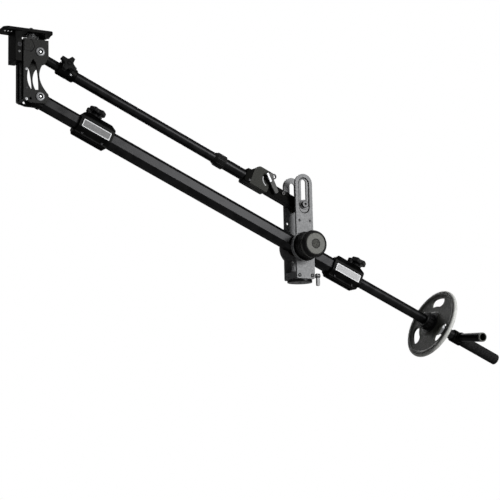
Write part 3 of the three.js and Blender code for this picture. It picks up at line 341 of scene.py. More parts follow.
def noiseOutput(nodes, links, scale, detail, stretch=(1, 1, 1), tilt=0, kind="Noise"):
    place = nodes.new("ShaderNodeTexCoord")
    turn = nodes.new("ShaderNodeMapping")
    turn.vector_type = "TEXTURE"
    turn.inputs["Rotation"].default_value = (0, tilt, 0)
    turn.inputs["Scale"].default_value = stretch
    noise = nodes.new("ShaderNodeTex" + kind)
    noise.inputs["Scale"].default_value = scale
    noise.inputs["Detail"].default_value = detail
    links.new(place.outputs["Object"], turn.inputs["Vector"])
    links.new(turn.outputs["Vector"], noise.inputs["Vector"])
    return noise.outputs[0]


def bumped(nodes, links, height, strength, depth, under=None):
    bump = nodes.new("ShaderNodeBump")
    bump.inputs["Strength"].default_value = strength
    bump.inputs["Distance"].default_value = depth
    links.new(height, bump.inputs["Height"])
    if under:
        links.new(under, bump.inputs["Normal"])
    return bump.outputs["Normal"]


# Tones run from dark to light, and a third is the speck on top; own settings replace the recipe's.
def coated(name, recipe, slotName, *tones, **own):
    r = {**matt, **recipes[recipe], **own}
    material = bpy.data.materials.new(name)
    material.use_nodes = True
    nodes, links = material.node_tree.nodes, material.node_tree.links
    shader = nodes["Principled BSDF"]
    for socket, value in (("Base Color", (*tones[1], 1)), ("Roughness", r["roughness"]),
                          ("Metallic", r["metallic"]), ("Specular IOR Level", r["gloss"]),
                          ("Specular Tint", (r["edge"],) * 3 + (1,))):
        shader.inputs[socket].default_value = value
    cloud = noiseOutput(nodes, links, *r["cloud"])
    ramp = nodes.new("ShaderNodeValToRGB")
    stops = ramp.color_ramp.elements
    for i, (band, tone) in enumerate(zip(r["bands"], tones)):
        stop = stops[i] if i < 2 else stops.new(band)
        stop.position = band
        stop.color = (*tone, 1)
    links.new(cloud, ramp.inputs["Fac"])
    links.new(ramp.outputs["Color"], shader.inputs["Base Color"])
    if r["spread"]:
        span = nodes.new("ShaderNodeMapRange")
        limits = (0.3, 0.7, *(r["roughness"] + each for each in r["spread"]))
        for socket, value in zip(("From Min", "From Max", "To Min", "To Max"), limits):
            span.inputs[socket].default_value = value
        links.new(cloud, span.inputs["Value"])
        links.new(span.outputs["Result"], shader.inputs["Roughness"])
    height = noiseOutput(nodes, links, *r["grain"]) if r["grain"] else cloud
    normal = bumped(nodes, links, height, r["strength"], r["depth"])
    if r["fine"]:
        normal = bumped(nodes, links, noiseOutput(nodes, links, *r["fine"]), 0.2, 0.0002, normal)
    links.new(normal, shader.inputs["Normal"])
    return material, slotName


finishes = {
    "tube": coated("blackAnodisedTube", "drawn", "black_anodised", (0.0065, 0.0065, 0.0067),
                   (0.0115, 0.0115, 0.0118)),
    "cast": coated("satinBlackCast", "cast", "satin_black", (0.0028, 0.0028, 0.0028),
                   (0.0062, 0.0062, 0.006)),
    "plate": coated("crinkleGrey", "crinkle", "grey_textured", (0.21, 0.212, 0.216), (0.28, 0.283, 0.288),
                    (0.38, 0.383, 0.388), gloss=0.05),
    "web": coated("crinkleBlack", "crinkle", "satin_black", (0.003, 0.003, 0.003), (0.014, 0.014, 0.014),
                  (0.14, 0.14, 0.14), gloss=0.02, strength=0.9, cloud=(330, 2)),
    "headPlate": coated("satinGreyPlate", "crinkle", "satin_black", (0.027, 0.0271, 0.0265),
                        (0.038, 0.0382, 0.0374), (0.055, 0.055, 0.053), gloss=0.02, strength=0.3),
    "knobRing": coated("anodisedGreyRing", "crinkle", "black_plastic", (0.1, 0.1, 0.092),
                       (0.15, 0.15, 0.14), (0.18, 0.18, 0.17), gloss=0.08, strength=0.15),
    "clampGrey": coated("satinClampGrey", "crinkle", "satin_black", (0.034, 0.0345, 0.031),
                        (0.05, 0.0505, 0.046), (0.07, 0.07, 0.065), gloss=0.02, strength=0.25),
    "moulded": coated("mouldedBlack", "moulded", "black_plastic", (0.005, 0.005, 0.005),
                      (0.012, 0.012, 0.0121)),
    "rubber": coated("grippedRubber", "foam", "rubber", (0.005, 0.005, 0.005), (0.022, 0.022, 0.022)),
    "iron": coated("enamelledIron", "iron", "cast_iron", (0.03, 0.031, 0.026), (0.062, 0.064, 0.055),
                   (0.13, 0.135, 0.12)),
    # A pale grey band round the weight plate's rim, lighter than the enamelled faces.
    "rim": coated("paleGreyRim", "matt", "cast_iron", (0.46, 0.465, 0.445), (0.66, 0.667, 0.64)),
    "steel": coated("platedSteel", "plated", "steel", (0.42, 0.425, 0.43), (0.66, 0.665, 0.67),
                    roughness=0.28),
    "dullSteel": coated("dullSteel", "plated", "steel", (0.12, 0.122, 0.125), (0.24, 0.243, 0.248)),
    "leverBright": coated("satinLever", "plated", "steel", (0.045, 0.0455, 0.046), (0.085, 0.086, 0.087)),
    "leverGrey": coated("greyLever", "plated", "steel", (0.03, 0.03, 0.031), (0.06, 0.0605, 0.0615),
                        roughness=0.45),
    "leverDark": coated("darkLever", "plated", "steel", (0.009, 0.009, 0.0088), (0.018, 0.018, 0.0175)),
    "blackSteel": coated("blackedSteel", "plated", "steel", (0.008, 0.008, 0.0085), (0.02, 0.02, 0.021),
                         roughness=0.4),
    # Painted shade: a near black for the rod clamp's nose and the rear link, darker than their casting
    # because they stand in shade.
    "paintedShadeBlack": coated("paintedShadeBlack", "matt", "black_plastic", (0.002, 0.002, 0.0018),
                        (0.005, 0.005, 0.0045), gloss=0.01),
    "plaque": coated("brushedPlaque", "brushed", "silver_plate", (0.33, 0.335, 0.34), (0.5, 0.505, 0.51)),
    # The rear plaque's field is painted paler than the front's: painted light for the brighter rear plaque.
    "paintedLightField": coated("plaqueFieldPaintedLight", "matt", "silver_plate", (0.36, 0.362, 0.366),
                        (0.52, 0.523, 0.528)),
    "plaqueField": coated("greyPlaqueField", "matt", "silver_plate", (0.17, 0.17, 0.172),
                          (0.24, 0.24, 0.243)),
    "face": coated("greyDisc", "matt", "knob_face", (0.1, 0.101, 0.092), (0.15, 0.151, 0.138)),
    "faceDark": coated("greyInset", "matt", "knob_face", (0.02, 0.0205, 0.018), (0.08, 0.081, 0.072),
                       gloss=0.05),
    "bronze": coated("oiledBronze", "sintered", "bronze", (0.02, 0.016, 0.011), (0.045, 0.036, 0.024)),
}
print("finishes ready")


# Fasteners: a size is the head's radius, its height and the socket's radius.

def socketScrew(radius, height, socket, domed=False):
    crown, brow, top = (height * 0.45, 0.86, 0.6) if domed else (height - 0.5, 0.94, 0.86)
    screw = turned([(radius, 0), (radius, crown), (radius * brow, height * 0.85), (radius * top, height)],
                   sides=40)
    return cutBy(screw, turned([(socket, height * 0.35), (socket, height + 1)], sides=6))


def fastened(name, body, spots, axis, size, finish="steel", domed=False):
    pattern = socketScrew(*size, domed)
    copies = [copied(pattern, spot, axisTurns[axis]) for spot in spots]
    bpy.data.objects.remove(pattern)
    return placed(gathered(*copies), name, body, finish)


# Pan base, post and what is bolted to them

pan = {"radius": 31, "edge": 1.2, "height": 7, "spindle": 9, "spindleTop": 19, "bore": 4.8, "boreTop": 13,
       "track": 20, "groove": 0.6, "grooveLow": 3}


def panPieces():
    outer, edge, height, groove = pan["radius"], pan["edge"], pan["height"], pan["groove"]
    soft = edge * 0.3
    steps = [(pan["bore"], pan["boreTop"]), (pan["bore"], 0.8), (pan["bore"] + 0.8, 0),
             *near(pan["track"], 0, (0, 0), (0.4, 0.5), (2, 0.5), (2.4, 0)),
             *near(outer, 0, (-edge, 0), (-soft, soft), (0, edge)),
             *near(outer, pan["grooveLow"], (0, 0), (-groove, 0.3), (-groove, 1), (0, 1.3)),
             *near(outer, height, (0, -edge), (-soft, -soft), (-edge, 0)),
             (pan["spindle"], height), (pan["spindle"], pan["spindleTop"])]
    dressed(turned(steps, sides=96), "pan_base", "turned", "base", "tube")


post = {
    "inner": 25.5, "outer": 31.5, "upperWidth": 48, "lowerWidth": 51, "boss": 38, "top": 182, "foot": 2,
    "slotWidth": 14, "slotLow": 102, "slotHigh": 161, "recessWidth": 31, "recessLow": 98,
    "recessHigh": 157.5, "recessDepth": 2, "line": 0.8, "lineWidth": 2.6, "hole": 3.4, "holeX": 15,
    "holeZ": 64.4, "blockLow": -79.7, "blockTop": -61.7, "bore": 7.3, "screwX": 18, "screwZ": -71.7,
}
lever = {"y": -15, "z": -69.5, "stem": 4, "reach": 24, "threads": 6, "hub": 6, "hubLength": 11, "arm": 25,
         "thick": 6}


def postOutline():
    upper, lower, boss = post["upperWidth"] / 2, post["lowerWidth"] / 2, post["boss"]
    lowAngle, highAngle = acos(lower / boss), acos(upper / boss)
    low, foot = post["blockLow"], post["foot"]
    right = [(lower - foot, low), (lower, low + foot)] + arc((0, 0), boss, -lowAngle, highAngle, 18)
    crown = arc((0, post["top"] - upper), upper, 0, pi, 36)
    left = arc((0, 0), boss, pi - highAngle, pi + lowAngle, 18)
    return right + crown + left + [(-lower, low + foot), (-lower + foot, low)]


def postPlate(node, side):
    p = post
    low, high = sorted((side * p["inner"], side * p["outer"]))
    plate = prism(postOutline(), low, high)
    slot = prism(stadium(p["slotWidth"], p["slotLow"], p["slotHigh"]), low - past, high + past)
    floor, sunk = (side * (p["outer"] - p["recessDepth"] - depth) for depth in (0, p["line"]))
    wide, narrow = (stadium(p["recessWidth"] - trim, p["recessLow"], p["recessHigh"])
                    for trim in (0, 2 * p["lineWidth"]))
    groove = stripe(wide, narrow, *sorted((sunk, floor + side)))
    # A dark strip laid in the groove round the recess: painted shade of the recess's step.
    line = stripe(wide, narrow, *sorted((sunk, floor - side * 0.25)))
    recess = prism(wide, *sorted((floor, side * (p["outer"] + past))))
    holes = [bored(p["hole"], low - past, high + past, at=(x, 0, p["holeZ"]))
             for x in (-p["holeX"], p["holeX"])]
    pivot = bored(p["bore"], low - past, high + past)
    cutBy(plate, recess, slot, pivot, groove, *holes)
    placed(line, node + "_line", "post", "cast")
    dressed(eased(plate, 0.7, 3), node, "milled", "post", "plate")


def postPieces():
    p = post
    postPlate("post_plate_near", -1)
    postPlate("post_plate_far", 1)
    half, depth = p["lowerWidth"] / 2, p["inner"] - gap
    block = boxed((-half, -depth, p["blockLow"]), (half, depth, p["blockTop"]))
    spindleTop = pan["spindleTop"] - linkage["pivotHeight"] + gap
    cutBy(block, bored(pan["spindle"] + gap, p["blockLow"] - past, spindleTop, "Z"))
    boss = turned(ringSteps(4.3, 7.2, half - 0.5, half + 2), "X", (0, lever["y"], lever["z"]))
    dressed(eased(block, 1.2, 3), "base_block", "milled", "post", "plate")
    placed(boss, "lock_bushing", "post", "dullSteel")
    grubs = [(x, -p["outer"] + 3.4, p["holeZ"]) for x in (-p["holeX"], p["holeX"])]
    fastened("near_grub_screws", "post", grubs, "-Y", (3.2, 2.2, 1.6), "blackSteel")
    fastened("far_stop_screw", "post", [(-3.4, p["inner"] + 0.4, -31.3)], "-Y", (2.3, 1.8, 0.9))
    for side, axis, name in ((-1, "-Y", "near"), (1, "Y", "far")):
        spots = [(x, side * (p["outer"] - 0.6), p["screwZ"]) for x in (-p["screwX"], p["screwX"])]
        fastened("foot_screws_" + name, "post", spots, axis, (3.2, 1.8, 1.6), "leverGrey", domed=True)
        # A black ring round each foot screw's head: painted shade of the gap round it.
        shadeRingSteps = ringSteps(3.3, 4.9, p["outer"] - 0.2, p["outer"] + 0.25, 0.1)
        shade_rings = [turned(shadeRingSteps, axis, (x, 0, z), 40, True) for x, _, z in spots]
        placed(gathered(*shade_rings), "foot_screw_seats_" + name, "post", "cast")
    fastened("block_side_screw", "post", [(-half + 1, 18, p["screwZ"] + 1)], "-X", (4, 1.8, 1.8),
             "blackSteel")


def panLever():
    v = lever
    face = post["lowerWidth"] / 2
    start = face + v["reach"] / 2
    end = start + v["hubLength"]
    steps = [(v["stem"], face - v["reach"] / 2), (v["stem"], face + 3)]
    for i in range(v["threads"]):
        steps += near(v["stem"], face + 3 + i * 1.3, (-0.35, 0.35), (0, 0.7))
    steps += [(v["stem"], start - 0.6), *near(v["hub"], start, (-0.8, 0), (0, 0.8)),
              *near(v["hub"], end, (0, -1), (-0.4, -0.3), (-1.2, 0))]
    hub = turned(steps, "X", sides=48)
    slim, wide = start + 1.6, end - 0.8
    blade = prism(rounded([(slim, 0, 0), (wide, 0, 0), (wide + 0.6, -v["arm"] * 0.6, 0),
                           (wide, -v["arm"], 2.5), (slim, -v["arm"], 2.5)]), -v["thick"] / 2,
                  v["thick"] / 2)
    joinedTo(hub, eased(blade, 1, 3))
    dressed(moved(hub, (0, v["y"], v["z"])), "pan_lock_lever", "cast", "pan_lever", "leverBright")


# Tilt pivot: shaft, bushes, flange and the drag knob on the near side

shaft = {"radius": 7, "nearEnd": -61.6, "head": 17, "headLength": 9, "key": 4.2}
drag = {
    "flange": 36, "flangeLength": 4.5, "washer": 1.5, "barrel": 32.5, "barrelLength": 23, "ribDepth": 1.1,
    "ribs": 48, "bands": 4, "neck": 29, "neckLength": 2.5, "ring": 33, "ringLength": 6, "cap": 34,
    "capLength": 14, "face": 26.5, "inset": 10.5,
}


# The same ring on both sides of the boom or of the link
def ringPair(name, bore, radius, inner, outer, where=None):
    for side, low, high in (("near", -outer, -inner), ("far", inner, outer)):
        ring = turned(ringSteps(bore, radius, low, high), "Y", hollow=True)
        dressed(ring, f"{name}_{side}", "turned", "post", "bronze", where)


def pivotPieces():
    start = post["outer"] + gap
    far = start + shaft["headLength"]
    head = turned([(shaft["radius"], shaft["nearEnd"]), (shaft["radius"], start),
                   *near(shaft["head"], start, (-1.6, 0), (-0.6, 0.5), (0, 2)),
                   *near(shaft["head"], far, (0, -3.2), (-0.4, -1.6), (-1.5, -0.6), (-3.4, 0), (-8, 0),
                         (-8.4, -0.5), (-11.4, -0.5))], "Y")
    cutBy(head, turned([(shaft["key"], far - 5), (shaft["key"], far + 2)], "Y", sides=6))
    dressed(head, "tilt_shaft", "turned", "post", "steel")
    ringPair("tilt_bush", shaft["radius"] + gap, shaft["head"], tube["width"] / 2 + gap,
             post["inner"] - gap)
    seam = start + drag["washer"]
    washer = turned(ringSteps(shaft["radius"] + 4, drag["flange"] + 0.5, start, seam), "-Y", hollow=True,
                    sides=96)
    placed(washer, "drag_washer", "post", "dullSteel")
    flange = turned(ringSteps(shaft["radius"] + gap, drag["flange"], seam, start + drag["flangeLength"], 1),
                    "-Y", hollow=True, sides=96)
    dressed(flange, "drag_flange", "turned", "post", "cast")


def dragKnob():
    d = drag
    onShaft = {"by": (0, -(post["outer"] + d["flangeLength"] + 2 * gap), 0), "turn": axisTurns["-Y"]}
    barrel = prism(ribbed(d["barrel"], d["ribDepth"], d["ribs"]), 0, d["barrelLength"], "Z")
    pickAllIn(barrel)
    heights = [d["barrelLength"] * i / d["bands"] for i in range(1, d["bands"])]
    for height in heights:
        bpy.ops.mesh.select_all(action="SELECT")
        bpy.ops.mesh.bisect(plane_co=(0, 0, height), plane_no=(0, 0, 1))
    cutBy(barrel, *[turned(near(d["barrel"], z, (2, -0.7), (2, 0.7), (-1, 0.45), (-1, -0.45), (2, -0.7)),
                           hollow=True, sides=88) for z in heights])
    ringStart = d["barrelLength"] + d["neckLength"]
    capStart = ringStart + d["ringLength"]
    capEnd = capStart + d["capLength"]
    ring = turned([*near(d["neck"], ringStart, (-0.5, -1), (1, -0.6)),
                   *near(d["ring"], ringStart, (-1.2, -0.4), (-0.3, 0.3), (0, 1.4)),
                   *near(d["ring"], capStart, (0, -1.6), (-0.8, -0.7)), (d["neck"] + 0.5, capStart - 0.5)],
                  sides=128)
    placed(moved(ring, **onShaft), "drag_knob_ring", "drag", "knobRing")
    cap = turned([(d["neck"], d["barrelLength"] * 0.5), (d["neck"], capStart - 0.4),
                  *near(d["cap"], capStart, (-2.6, -0.2), (-1.2, 0.2), (-0.4, 0.9), (0, 2), (0, 4.6),
                        (-0.5, 5.2), (-1.4, 5.6), (-1.4, 6.6), (-0.9, 7)),
                  *near(d["cap"], capEnd, (-1.6, -4.4), (-2.6, -3.9), (-2.6, -3.1), (-2.3, -2.6),
                        (-3.6, -1.2), (-5, -0.3), (-6, 0)),
                  *near(d["face"], capEnd, (0.8, 0), (0, -0.4), (0, -1.6))], sides=128)
    knob = moved(gathered(barrel, cap), **onShaft)
    dressed(knob, "drag_knob", "moulded", "drag", "moulded")
    face = turned([*near(d["face"], capEnd, (-0.4, -1.9), (-0.4, -1.1), (-1.2, -0.5), (-2, -0.9)),
                   *near(d["inset"], capEnd, (1.7, -0.9), (1.2, -2.2))], sides=128)
    placed(moved(face, **onShaft), "drag_knob_face", "drag", "face")
    inset = turned([*near(d["inset"], capEnd, (-0.3, -2.6), (-0.3, -1.7), (-0.9, -1.4)), (4, capEnd - 1.3)],
                   sides=64)
    dressed(moved(inset, **onShaft), "drag_knob_insert", "disc", "drag", "faceDark")


slotBolt = {"radius": 5.5, "head": 8.8, "headLength": 6, "washer": 12, "washerLength": 2, "socket": 3.5,
            "nut": 10.5, "nutLength": 9, "linkHalf": 11}


def slotPieces():
    s = slotBolt
    floor = post["outer"] - post["recessDepth"] + gap
    headStart, far = floor + s["washerLength"], floor + s["nutLength"]
    washer = turned([(s["radius"], -far), (s["radius"], floor),
                     *near(s["washer"], floor, (-0.4, 0), (0, 0.4)),
                     *near(s["washer"], headStart, (0, -0.4), (-0.4, 0)), (s["head"], headStart)], "-Y")
    screw = moved(socketScrew(s["head"], s["headLength"], s["socket"]), (0, -headStart, 0), axisTurns["-Y"])
    dressed(gathered(washer, screw), "slot_bolt", "turned", "post", "leverGrey", atSlot)
    # A dark plug in the bolt's socket: painted shade in the socket.
    core = turned(near(s["socket"], headStart, (-0.2, 1.4), (-0.2, 3.4), (-0.9, 4.2)), "-Y", sides=24)
    placed(core, "slot_bolt_socket_shade", "post", "cast", where=atSlot)
    nut = turned([*near(s["nut"], floor, (-0.9, 0), (0, 0.6)), *near(s["nut"], far, (0, -0.6), (-0.9, 0))],
                 "Y", sides=6)
    cutBy(nut, bored(s["radius"] + gap, floor - past, far + past))
    dressed(eased(nut, 0.3), "slot_bolt_nut", "hex", "post", "dullSteel", atSlot)
    ringPair("rod_spacer", s["radius"] + gap, s["washer"], s["linkHalf"] + gap, post["inner"] - gap, atSlot)


# Boom: the eight-sided tube with a clamp at each end

tube = {"width": 38.1, "chamfer": 9, "wall": 2.2, "front": 635, "rear": 171, "corner": 1.4}


def hollowOf(size):
    return size["width"] - 2 * size["wall"], size["chamfer"] - size["wall"] * (2 - sqrt(2))


def eightSided(size, low, high):
    shell = prism(octagon(size["width"], size["chamfer"], size["corner"]), low, high, "X")
    return cutBy(shell, prism(octagon(*hollowOf(size), 0.8), low - past, high + past, "X"))


def boomTube():
    shell = cutBy(eightSided(tube, -tube["front"], tube["rear"]), bored(shaft["radius"] + gap, -40, 40))
    dressed(eased(shell, 0.35, 2, 40), "boom_tube", "drawn", "boom", "tube")
    reach = hollowOf(tube)[0] / 2 - gap
    sleeve = turned(ringSteps(shaft["radius"] + gap, 9, -reach, reach), "Y", hollow=True)
    dressed(sleeve, "pivot_sleeve", "turned", "boom", "steel")


clamp = {
    "length": 88, "depth": 26.5, "side": 11, "top": 32, "pad": 12, "bottom": -28.5, "earOuter": 15,
    "earInner": 3, "lip": 11.7, "slope": 11, "drop": 12, "earRound": 6, "front": -603, "rear": 139,
    "screwSpan": 27, "screwZ": -23.5, "waistEnd": 9, "waistLow": 3.5, "waistTop": 1.5, "waistDepth": 1.2,
    "plaqueLength": 74, "plaqueHeight": 19.5, "plaqueThick": 1.4, "plaqueSunk": 0.7, "plaqueCorner": 2.5,
    "plaqueZ": -3, "border": 2.2,
}


def clampBody(centre, lipSide, bore):
    c = clamp
    half, depth, flat = c["length"] / 2, c["depth"], c["depth"] - c["side"]
    ear, slit, foot, top, shoulder = c["earOuter"], c["earInner"], c["bottom"], c["top"], c["top"] - c["drop"]
    slitTop = -tube["width"] / 2 + 1
    section = rounded([
        (-slit, foot, 0), (-slit, slitTop, 0), (slit, slitTop, 0), (slit, foot, 0), (ear, foot, 2),
        (ear, -depth + slit, 2), (depth, -flat, 3), (depth, flat, 3), (c["pad"], top, 3),
        (-c["pad"], top, 3), (-depth, flat, 3), (-depth, -flat, 3), (-ear, -depth + slit, 2),
        (-ear, foot, 2)], 3)
    side = rounded([
        (-half, foot, c["earRound"]), (half, foot, c["earRound"]), (half, shoulder, 2),
        (half - c["slope"], top, 3), (-half + c["slope"], top, 3), (-half, shoulder, 2)], 4)
    body = prism(section, -half, half, "X")
    combined(body, "INTERSECT", [prism(side, -60, 60)])
    low, high = (-half + c["lip"], half + past) if lipSide < 0 else (-half - past, half - c["lip"])
    room = prism(octagon(tube["width"] + 2 * gap, tube["chamfer"]), low, high, "X")
    sunk = prism(oblong((0, c["plaqueZ"]), c["plaqueLength"] / 2 + gap, c["plaqueHeight"] / 2 + gap,
                        c["plaqueCorner"]), -depth - past, -depth + c["plaqueSunk"])
    waists = [boxed((-half + c["waistEnd"], start, -depth + c["waistLow"]),
                    (half - c["waistEnd"], end, -flat - c["waistTop"]))
              for start, end in ((-depth - past, -depth + c["waistDepth"]),
                                 (depth - c["waistDepth"], depth + past))]
    cutBy(body, room, bore, sunk, *waists)
    return moved(body, (centre, 0, 0))


def plaquePieces(name, centre):
    c = clamp
    middle, halfLength, halfHeight = (centre, c["plaqueZ"]), c["plaqueLength"] / 2, c["plaqueHeight"] / 2
    back = -c["depth"] + c["plaqueSunk"] - gap
    face = back - c["plaqueThick"]
    plaque = prism(oblong(middle, halfLength, halfHeight, c["plaqueCorner"]), face, back)
    border, inside = c["border"], c["border"] + 0.2
    window = oblong(middle, halfLength - border, halfHeight - border, 1.5)
    cutBy(plaque, prism(window, face - 1, face + 0.3))
    panel = prism(oblong(middle, halfLength - inside, halfHeight - inside, 1.4), face + 0.05, face + 0.6)
    # The rear field's paler tone is painted light.
    placed(panel, name + "_plaque_field", "boom", "plaqueField" if name == "front" else "paintedLightField")
    dressed(eased(plaque, 0.18), name + "_plaque", "stamped", "boom", "plaque")


def clampPieces():
    c = clamp
    frontBore = prism(octagon(innerTube["width"] + 2 * gap, innerTube["chamfer"]), -c["length"],
                      c["length"], "X")
    rearBore = bored(bar["radius"] + gap, -c["length"], c["length"], "X", sides=72)
    for name, centre, lipSide, bore in (("front", c["front"], -1, frontBore),
                                        ("rear", c["rear"], 1, rearBore)):
        body = clampBody(centre, lipSide, bore)
        dressed(eased(body, 1, 2, 28), name + "_clamp", "machined", "boom", "cast")
        plaquePieces(name, centre)
        heads, ends = ([(centre + u * c["screwSpan"], y, c["screwZ"]) for u in (-1, 1)]
                       for y in (-c["earOuter"], c["earOuter"]))
        fastened(name + "_clamp_screws", "boom", heads, "-Y", (3.2, 2.6, 1.7), "blackSteel", domed=True)
        fastened(name + "_clamp_screw_ends", "boom", ends, "Y", (3.0, 1.6, 1.2), "blackSteel")


clampKnob = {"radius": 23, "tipHalf": 8.6, "valley": 17, "tipFillet": 3.4, "valleyFillet": 5, "thick": 12,
             "dish": 8, "hub": 11, "hubLength": 6, "stem": 4, "stemLength": 10, "frontX": -613.5,
             "rearX": 166, "turn": radians(45)}


def knobWheel(k):
    dish, top = k["dish"], k["hubLength"] + k["thick"]
    wheel = prism(crossed(k), k["hubLength"], top, "Z")
    eased(wheel, k["thick"] * 0.24, 3, 60, tidy=False)
    cutBy(wheel, turned(near(dish, top, (0, -1.6), (1, -0.8), (1.6, 1)), sides=64))
    return gathered(wheel, turned(near(dish, top, (-1.2, -2), (-1.2, -0.6), (-1.8, -0.1)), sides=64))


def clampKnobs():
    k = clampKnob
    hub, high = k["hub"], k["hubLength"]
    for name in ("front", "rear"):
        wheel = knobWheel(k)
        stem = turned([(k["stem"], -k["stemLength"]), (k["stem"], 0), (hub - 1.5, 0), (hub - 1, 0.6),
                       (hub - 1, 3), (hub, high - 0.5), (hub, high + 2)])
        whole = moved(gathered(wheel, stem), (k[name + "X"], 0, clamp["top"] + gap), (0, 0, k["turn"]))
        dressed(whole, name + "_clamp_knob", "moulded", name + "_knob", "moulded")


# Inner tube with the eye that carries the head

innerTube = {"width": 33.1, "chamfer": 7.8, "wall": 2, "front": 738, "rear": 260, "corner": 1.2}
eye = {"radius": 16.5, "width": 31, "boss": 14, "bore": 5.3, "plug": 36, "headInner": 19}


def eyeBoss(radius):
    return turned(discSteps(radius, -eye["headInner"] + gap, eye["headInner"] - gap), "Y")


def extensionPieces():
    shell = eightSided(innerTube, -innerTube["front"], -innerTube["rear"])
    dressed(eased(shell, 0.3, 2, 40), "extension_tube", "drawn", "extension", "tube")
    reach = linkage["boomReach"] - innerTube["front"] - gap
    radius, half = eye["radius"], eye["width"] / 2
    cheek = prism([(reach, -radius), (reach, radius)] + arc((0, 0), radius, pi / 2, 3 * pi / 2, 32), -half,
                  half)
    eased(cheek, 1.2, 3)
    hollow, chamfer = hollowOf(innerTube)
    plug = prism(octagon(hollow - 2 * gap, chamfer), reach * 0.5, reach + eye["plug"], "X")
    joinedTo(cheek, eyeBoss(eye["boss"]), plug)
    cutBy(cheek, bored(eye["bore"], -40, 40))
    dressed(moved(cheek, (-linkage["boomReach"], 0, 0)), "extension_eye", "cast", "extension", "cast")


# Weight bar: collars, plate and the two handles

bar = {"radius": 12.7, "front": 75, "rear": 650, "wall": 4, "guideFront": 110}
weight = {
    "radius": 94, "thick": 11, "rim": 13, "web": 6, "hub": 32, "front": 429, "gripInner": 48.5,
    "gripOuter": 74, "grips": 3, "gripSpan": radians(13), "collar": 23, "collarLength": 24, "lock": 20,
    "lockLength": 22,
}


def barPieces():
    radius, front, rear = bar["radius"], bar["front"], bar["rear"]
    hollow = radius - bar["wall"]
    rod = turned([(hollow, rear - 5), (hollow, front), (radius - 0.8, front), (radius, front + 0.8),
                  (radius, rear)],
                 "X", sides=96)
    dressed(rod, "weight_bar", "turned", "bar", "tube")
    width, chamfer = hollowOf(tube)
    plug = prism(octagon(width - 2 * gap, chamfer), bar["guideFront"], tube["rear"] - gap, "X")
    cutBy(plug, bored(radius + gap, bar["guideFront"] - past, tube["rear"] + past, "X", sides=72))
    dressed(eased(plug, 0.4), "bar_guide", "moulded", "boom", "moulded")


def kidney(turn):
    inside, outside = weight["gripInner"], weight["gripOuter"]
    middle, end = (inside + outside) / 2, (outside - inside) / 2
    start, stop = turn - weight["gripSpan"], turn + weight["gripSpan"]
    return (arc((0, 0), outside, start, stop, 16)
            + arc((middle * cos(stop), middle * sin(stop)), end, stop, stop + pi, 12)[1:-1]
            + arc((0, 0), inside, stop, start, 14)
            + arc((middle * cos(start), middle * sin(start)), end, start + pi, start + 2 * pi, 12)[1:-1])


# A closed profile from its half above the middle, mirrored
def mirrored(half, ends=()):
    steps = [*ends, *half]
    steps += [(r, -z) for r, z in reversed(half)]
    return steps + steps[:1]


def weightPieces():
    w = weight
    half, web, worn = w["thick"] / 2, w["web"] / 2, w["radius"]
    rim, hub, bore = worn - w["rim"], w["hub"], bar["radius"] + gap
    face = [*near(hub, half, (-3, 0), (-1.4, -0.4), (-0.2, -1.4)), *near(hub, web, (1.6, 0.6), (3.4, 0)),
            *near(rim, web, (-4, 0), (-1.6, 0.5)), *near(rim, half, (0, -1.4), (0.8, -0.4), (2.4, 0)),
            *near(worn, half, (-6.4, 0), (-6, -0.5), (-6, -1))]
    plate = turned(mirrored(face, [(bore, -half), (bore, half)]), "X", sides=144, hollow=True)
    for i in range(w["grips"]):
        cutBy(plate, prism(kidney(pi / 2 + i * 2 * pi / w["grips"]), -20, 20, "X"))
    eased(plate, 1.1, 3, 40)
    middle = (w["front"] + half, 0, 0)
    dressed(moved(plate, middle), "weight_plate", "cast", "weights", "iron")
    shoulder = near(worn, half, (0, -4.6), (-0.3, -3), (-1.1, -1.6), (-2.5, -0.5), (-4, 0), (-5.2, 0),
                    (-5.6, -0.4), (-5.6, -1))
    rimBand = turned(mirrored(shoulder), "X", sides=144, hollow=True)
    placed(moved(rimBand, middle), "weight_plate_rim", "weights", "rim")

    end = w["front"] - gap
    start = end - w["collarLength"]
    collar = prism(ribbed(w["collar"], 2.2, 14, 0.55), start + 5, end - 4, "X")
    eased(collar, 0.5, 2, 40, tidy=False)
    nose = turned(discSteps(w["collar"] - 2.6, start, end, 1.6), "X")
    joinedTo(collar, nose, turned(discSteps(hub - 4, end - 2, end), "X", sides=96))
    cutBy(collar, bored(bore, end - 40, end + 10, "X", sides=72))
    dressed(collar, "weight_stop_collar", "moulded", "weights", "moulded")

    start = w["front"] + w["thick"] + gap
    end = start + w["lockLength"]
    lock = turned(ringSteps(bore, w["lock"], start, end, 1.2), "X", hollow=True, sides=96)
    cutBy(lock, boxed((start - past, 10, -1), (end + past, 30, 1)))
    dressed(eased(lock, 0.4, 2, 40), "weight_lock_collar", "turned", "weights", "dullSteel")
    seat = w["lock"] + gap
    thumb = prism(ribbed(7, 0.7, 18), seat + 1, seat + 9, "Z")
    stem = turned([(3, seat - 5), (3, seat), (5.4, seat), (5.4, seat + 2)], sides=32)
    whole = moved(gathered(eased(thumb, 0.3, 2, 50, tidy=False), stem), (start + w["lockLength"] / 2, 0, 0))
    dressed(whole, "lock_collar_screw", "knurled", "collar_screw", "moulded")


handle = {
    "front": 502, "length": 32, "clamp": 16.4, "droop": radians(5), "radius": 12, "root": 10.6, "wall": 2.6,
    "reach": 101, "socket": 13.4, "socketReach": 24, "socketDepth": 16, "grip": 14.3, "gripLength": 116,
    "gripEnd": 5,
}


